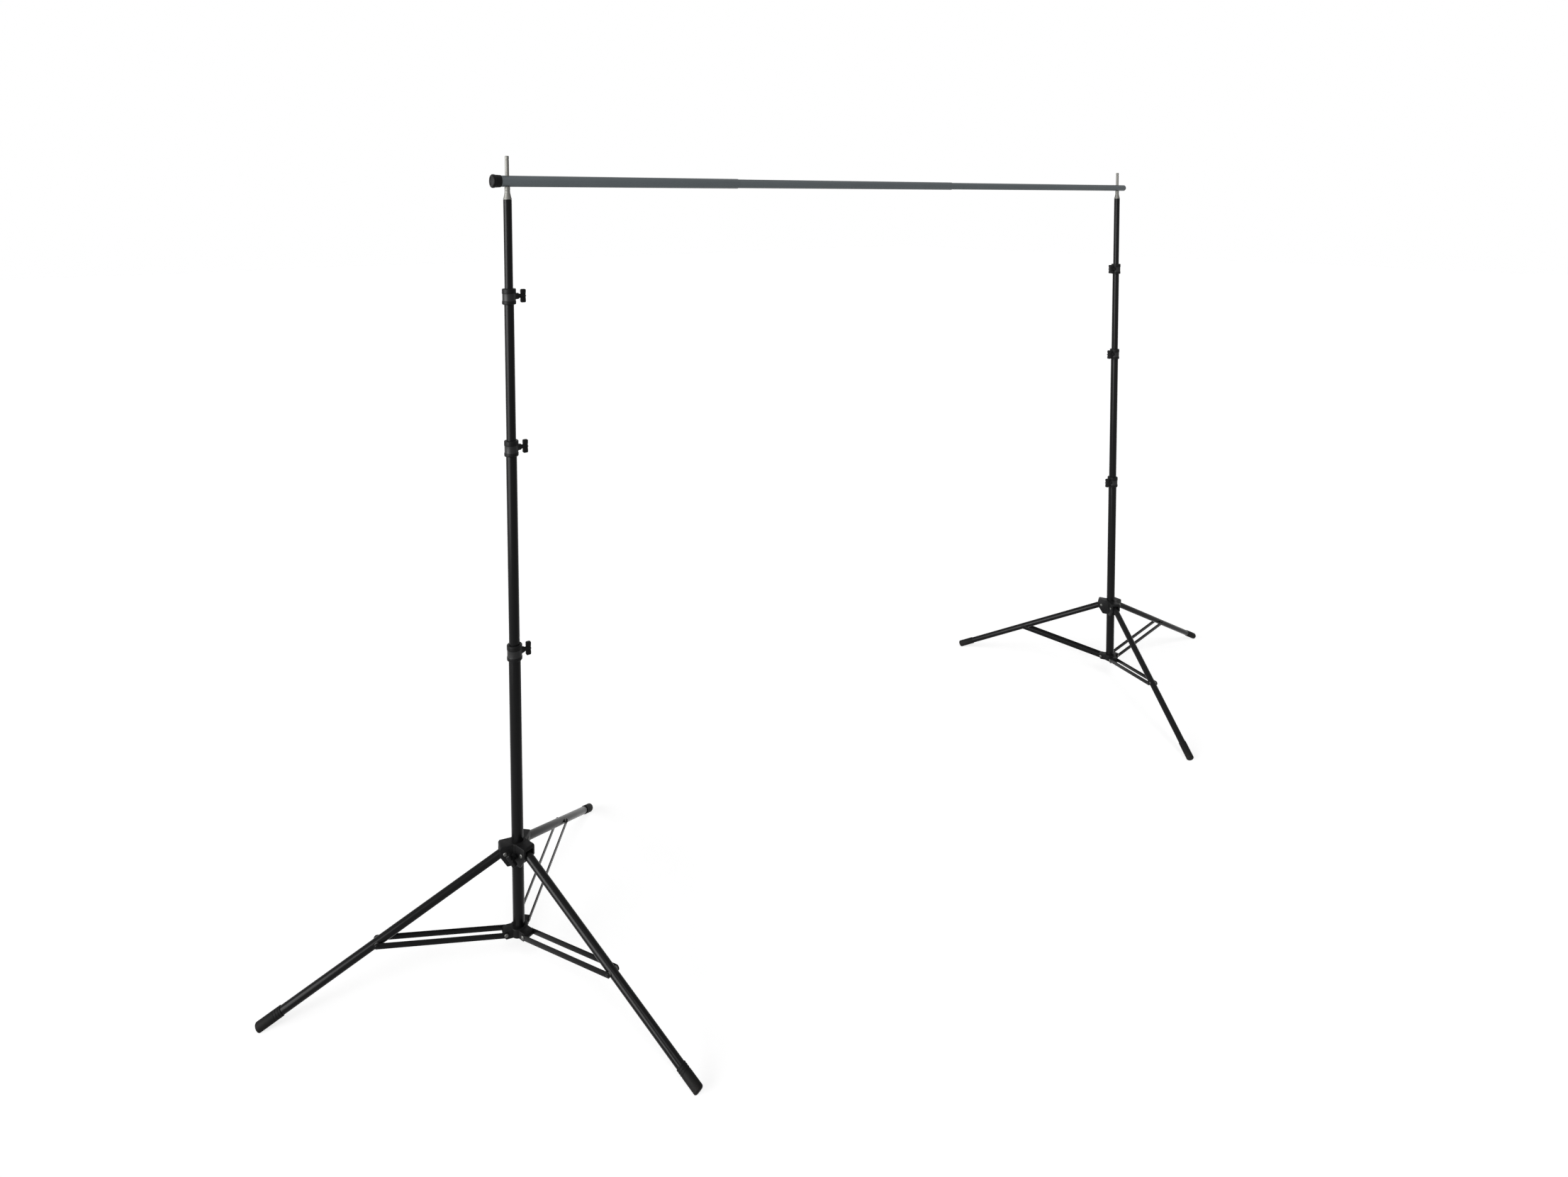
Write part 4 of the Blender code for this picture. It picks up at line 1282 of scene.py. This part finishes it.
def leg_nose():
    """The round end in the fork, with its stub in the tube and the hole for the rivet."""
    stub = LEG_RADIUS - LEG_WALL - GAP
    outline = [(0.0, -LEG_RADIUS)]
    outline += arc((0.0, 0.0), LEG_RADIUS, -90, 0, 14)[1:]
    outline += [(LEG_RADIUS, NOSE_END), (stub, NOSE_END), (stub, LEG_SOLID_TOP), (0.0, LEG_SOLID_TOP)]
    hole = rod(RIVET_RADIUS + GAP, -THROUGH, THROUGH, 24, ALONG_Y)
    return carved(spun(outline, FINE, closed=False), removed=[hole])


def leg_tube():
    """The leg's tube, drilled across for the bush."""
    made = tube(LEG_RADIUS, LEG_WALL, NOSE_END + GAP, LEG_LENGTH - FOOT_END - GAP)
    hole = rod(BUSH_RADIUS + BUSH_CLEARANCE, -THROUGH, THROUGH, 32, raised(BRACE_ON_LEG) @ ALONG_Y)
    return carved(made, removed=[hole])


def leg_bush():
    """A steel sleeve across the leg, with rolled ends."""
    half = BRACE_GAUGE - GAP
    outline = [(RIVET_RADIUS, -half), (BUSH_RADIUS, -half), (BUSH_RADIUS, half), (RIVET_RADIUS, half)]
    return moved(spun(softened(outline, rounding=BUSH_ROUND), 40), raised(BRACE_ON_LEG) @ ALONG_Y)


nose_shape = shape_from(leg_nose(), "leg_nose")
leg_shape = shape_from(leg_tube(), "leg_tube")
bush_shape = shape_from(leg_bush(), "leg_bush")
for side in SIDES:
    for leg in LEGS:
        body = f"{side}_leg_{leg}"
        where = leg_frame(f"{body}_hinge") @ LEG_DOWN
        place(f"{body}_tube", leg_shape, where, enamel, body, [body])
        place(f"{body}_nose", nose_shape, where, plastic, body)
        place(f"{body}_bush", bush_shape, where, rivet_steel, body)
print("leg faces", len(leg_shape.polygons) + len(nose_shape.polygons) + len(bush_shape.polygons))

# %% [markdown]
# ## Rubber feet
#
# Each leg ends in a rubber cap with shallow grooves round its open end. The cap is turned, then cut by the
# plane of the floor, which leaves the flat that the stand rests on. Cutting gives a level flat at any tilt
# of the leg, which no turned outline can.

# %% Rubber caps
FOOT_WALL = 0.0012
FOOT_SLEEVE = 0.0550
FOOT_EDGE = 0.0030
FOOT_ROUND = 0.0012
FOOT_RADIUS = LEG_RADIUS + GAP + FOOT_WALL
FOOT_GROOVES = 3
FOOT_GROOVE_START = 0.0035
FOOT_GROOVE_STEP = 0.0060
FOOT_GROOVE_WIDTH = 0.0020
FOOT_GROOVE_SLOPE = 0.0004
FOOT_GROOVE_BOTTOM = FOOT_RADIUS - 0.0006


def cap_outline():
    """The cap along the leg, from its open end down and back up its bore."""
    start = LEG_LENGTH - FOOT_END - FOOT_SLEEVE
    bore = LEG_RADIUS + GAP
    outline = [(bore, start), (FOOT_RADIUS, start)]
    for number in range(FOOT_GROOVES):
        low = start + FOOT_GROOVE_START + number * FOOT_GROOVE_STEP
        high = low + FOOT_GROOVE_WIDTH
        outline.append((FOOT_RADIUS, low))
        outline.append((FOOT_GROOVE_BOTTOM, low + FOOT_GROOVE_SLOPE))
        outline.append((FOOT_GROOVE_BOTTOM, high - FOOT_GROOVE_SLOPE))
        outline.append((FOOT_RADIUS, high))
    outline += [
        (FOOT_RADIUS, LEG_LENGTH - FOOT_EDGE),
        (FOOT_RADIUS - FOOT_EDGE, LEG_LENGTH),
        (0.0, LEG_LENGTH),
        (0.0, LEG_LENGTH - FOOT_END),
        (bore, LEG_LENGTH - FOOT_END),
    ]
    return outline


def rubber_cap():
    """The turned cap, cut off at the floor."""
    cap = spun(softened(cap_outline(), rounding=FOOT_ROUND), FINE)
    loose = [edge for edge in cap.edges if not edge.link_faces]
    bmesh.ops.delete(cap, geom=loose, context="EDGES")
    to_leg = LEG_DOWN.inverted()
    cut = bmesh.ops.bisect_plane(
        cap,
        geom=cap.verts[:] + cap.edges[:] + cap.faces[:],
        plane_co=to_leg @ Vector((0.0, 0.0, -pivot_height)),
        plane_no=to_leg.to_3x3() @ -UP,
        clear_outer=True,
    )
    rim = [item for item in cut["geom_cut"] if isinstance(item, bmesh.types.BMEdge)]
    bmesh.ops.contextual_create(cap, geom=rim)
    return cap


cap_shape = shape_from(rubber_cap(), "rubber_cap")
for side in SIDES:
    for leg in LEGS:
        body = f"{side}_leg_{leg}"
        where = leg_frame(f"{body}_hinge") @ LEG_DOWN
        node = f"{side}_foot_{leg}"
        place(f"{node}_cap", cap_shape, where, rubber, body, [node])
print("cap faces", len(cap_shape.polygons))

# %% [markdown]
# ## Braces
#
# A brace is a pair of flat steel bars with round ends, stamped from strip, one on each side of the leg.
# Steel rivets with domed heads hold them at both ends, bare at the lug and enamelled with the bars at the
# leg. A stretched block would have square ends, so the bar is a slab from an outline with two arcs. It gets
# a small rounding, because a stamped and enamelled edge catches the light.

# %% Braces
BRACE_THICKNESS = 0.002
BRACE_WIDTH = 0.014
BRACE_ROUND = 0.0004
BRACE_OUTER = BRACE_GAUGE + BRACE_THICKNESS


def brace_size():
    """Length and rise angle of a brace between its two pivots."""
    reach = BRACE_ON_LEG * math.cos(LEG_TILT)
    rise = pivot_height - BRACE_ON_LEG * math.sin(LEG_TILT) - base_pivot_height
    return math.hypot(reach, rise), math.atan2(rise, reach)


def brace_bar(length, low, high):
    """One flat bar along X, with round ends."""
    half = BRACE_WIDTH / 2
    outline = arc((0.0, 0.0), half, 90, 270, 20) + arc((length, 0.0), half, -90, 90, 20)
    return rounded_slab(outline, low, high, BRACE_ROUND, segments=2)


brace_length, brace_rise = brace_size()
near_bar = shape_from(brace_bar(brace_length, -BRACE_OUTER, -BRACE_GAUGE), "brace_bar_near")
far_bar = shape_from(brace_bar(brace_length, BRACE_GAUGE, BRACE_OUTER), "brace_bar_far")
brace_rivet = shape_from(rivet_heads(BRACE_OUTER), "brace_rivet")
brace_pin = shape_from(rivet_pin(BRACE_OUTER), "brace_pin")
for side in SIDES:
    for leg in LEGS:
        body = f"{side}_brace_{leg}"
        where = leg_frame(f"{body}_hinge") @ Matrix.Rotation(-brace_rise, 4, "Y")
        at_leg = where @ Matrix.Translation((brace_length, 0.0, 0.0))
        place(f"{body}_bar_near", near_bar, where, enamel, body, [body])
        place(f"{body}_bar_far", far_bar, where, enamel, body)
        place(f"{body}_rivet_in", brace_rivet, where, rivet_steel, body)
        place(f"{body}_pin_in", brace_pin, where, rivet_steel, body)
        place(f"{body}_rivet_out", brace_rivet, at_leg, enamel, body)
print(f"brace {brace_length:.4f} m, rising {math.degrees(brace_rise):.1f} degrees")

# %% [markdown]
# ## Crossbar
#
# The crossbar is three aluminium tubes that slide in each other. The outer and inner ones are drilled for
# the pins. They are turned like the mast's tubes and then laid along X, so that the drawn lines run along
# them without more work.

# %% Crossbar tubes
BAR_WALL = 0.0010
BAR_PINS = {"bar_outer": "left_bar_swivel", "bar_middle": None, "bar_inner": "right_bar_swivel"}
bar_line = joint_place("left_bar_swivel")
for number, (node, pin) in enumerate(BAR_PINS.items()):
    low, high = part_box(node)
    made = tube(BAR_RADII[number], BAR_WALL, 0.0, high.x - low.x)
    if pin:
        across = raised(joint_place(pin).x - low.x) @ ALONG_X
        made = carved(made, removed=[rod(PIN_RADIUS + GAP, -THROUGH, THROUGH, 40, across)])
    shape = shape_from(made, node)
    where = Matrix.Translation((low.x, bar_line.y, bar_line.z)) @ ALONG_X
    place(f"{node}_tube", shape, where, aluminium, node, [node])
    print(node, "from", round(low.x, 3), "to", round(high.x, 3))

# %% [markdown]
# A moulded cap covers the left end and a small plug the right one. The cap has a wide flat disc, a shallow
# dish in its face, and a sleeve that tapers over the tube. It is one outline again, which starts and ends
# on the axis.

# %% Crossbar ends
END_CAP_RADIUS = 0.017
END_CAP_SLEEVE = 0.015
END_CAP_DISC = 0.008
END_CAP_DISH = 0.0012
END_CAP_EDGE = 0.0020


def end_cap():
    """The cap along Z, with the tube's end at height 0 and the tube above."""
    bore = BAR_RADII[0] + GAP
    face = -GAP - END_CAP_DISC
    outline = [
        (0.0, face + END_CAP_DISH),
        (END_CAP_RADIUS * 0.60, face + END_CAP_DISH),
        (END_CAP_RADIUS * 0.66, face),
        (END_CAP_RADIUS - END_CAP_EDGE, face),
        (END_CAP_RADIUS, face + END_CAP_EDGE),
        (END_CAP_RADIUS, -0.0012),
        (END_CAP_RADIUS - 0.0007, -0.0002),
        (bore + 0.0018, 0.0010),
        (bore + 0.0010, END_CAP_SLEEVE),
        (bore, END_CAP_SLEEVE),
        (bore, -GAP),
        (0.0, -GAP),
    ]
    return spun(softened(outline, rounding=0.0007), FINE, closed=False)


left_end = Vector((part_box("bar_outer")[0].x, bar_line.y, bar_line.z))
right_end = Vector((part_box("bar_inner")[1].x, bar_line.y, bar_line.z))
cap = shape_from(end_cap(), "bar_end_cap")
where = Matrix.Translation(left_end) @ ALONG_X
place("bar_end_cap_moulding", cap, where, plastic, "bar_outer", ["bar_end_cap"])
plug = shape_from(flanged_plug(BAR_RADII[2], BAR_WALL, flange=0.0025, spigot=0.015), "bar_end_plug")
where = Matrix.Translation(right_end) @ ALONG_X.inverted()
place("bar_end_plug_disc", plug, where, plastic, "bar_inner", ["bar_end_plug"])
print("crossbar ends at", round(left_end.x, 3), round(right_end.x, 3))
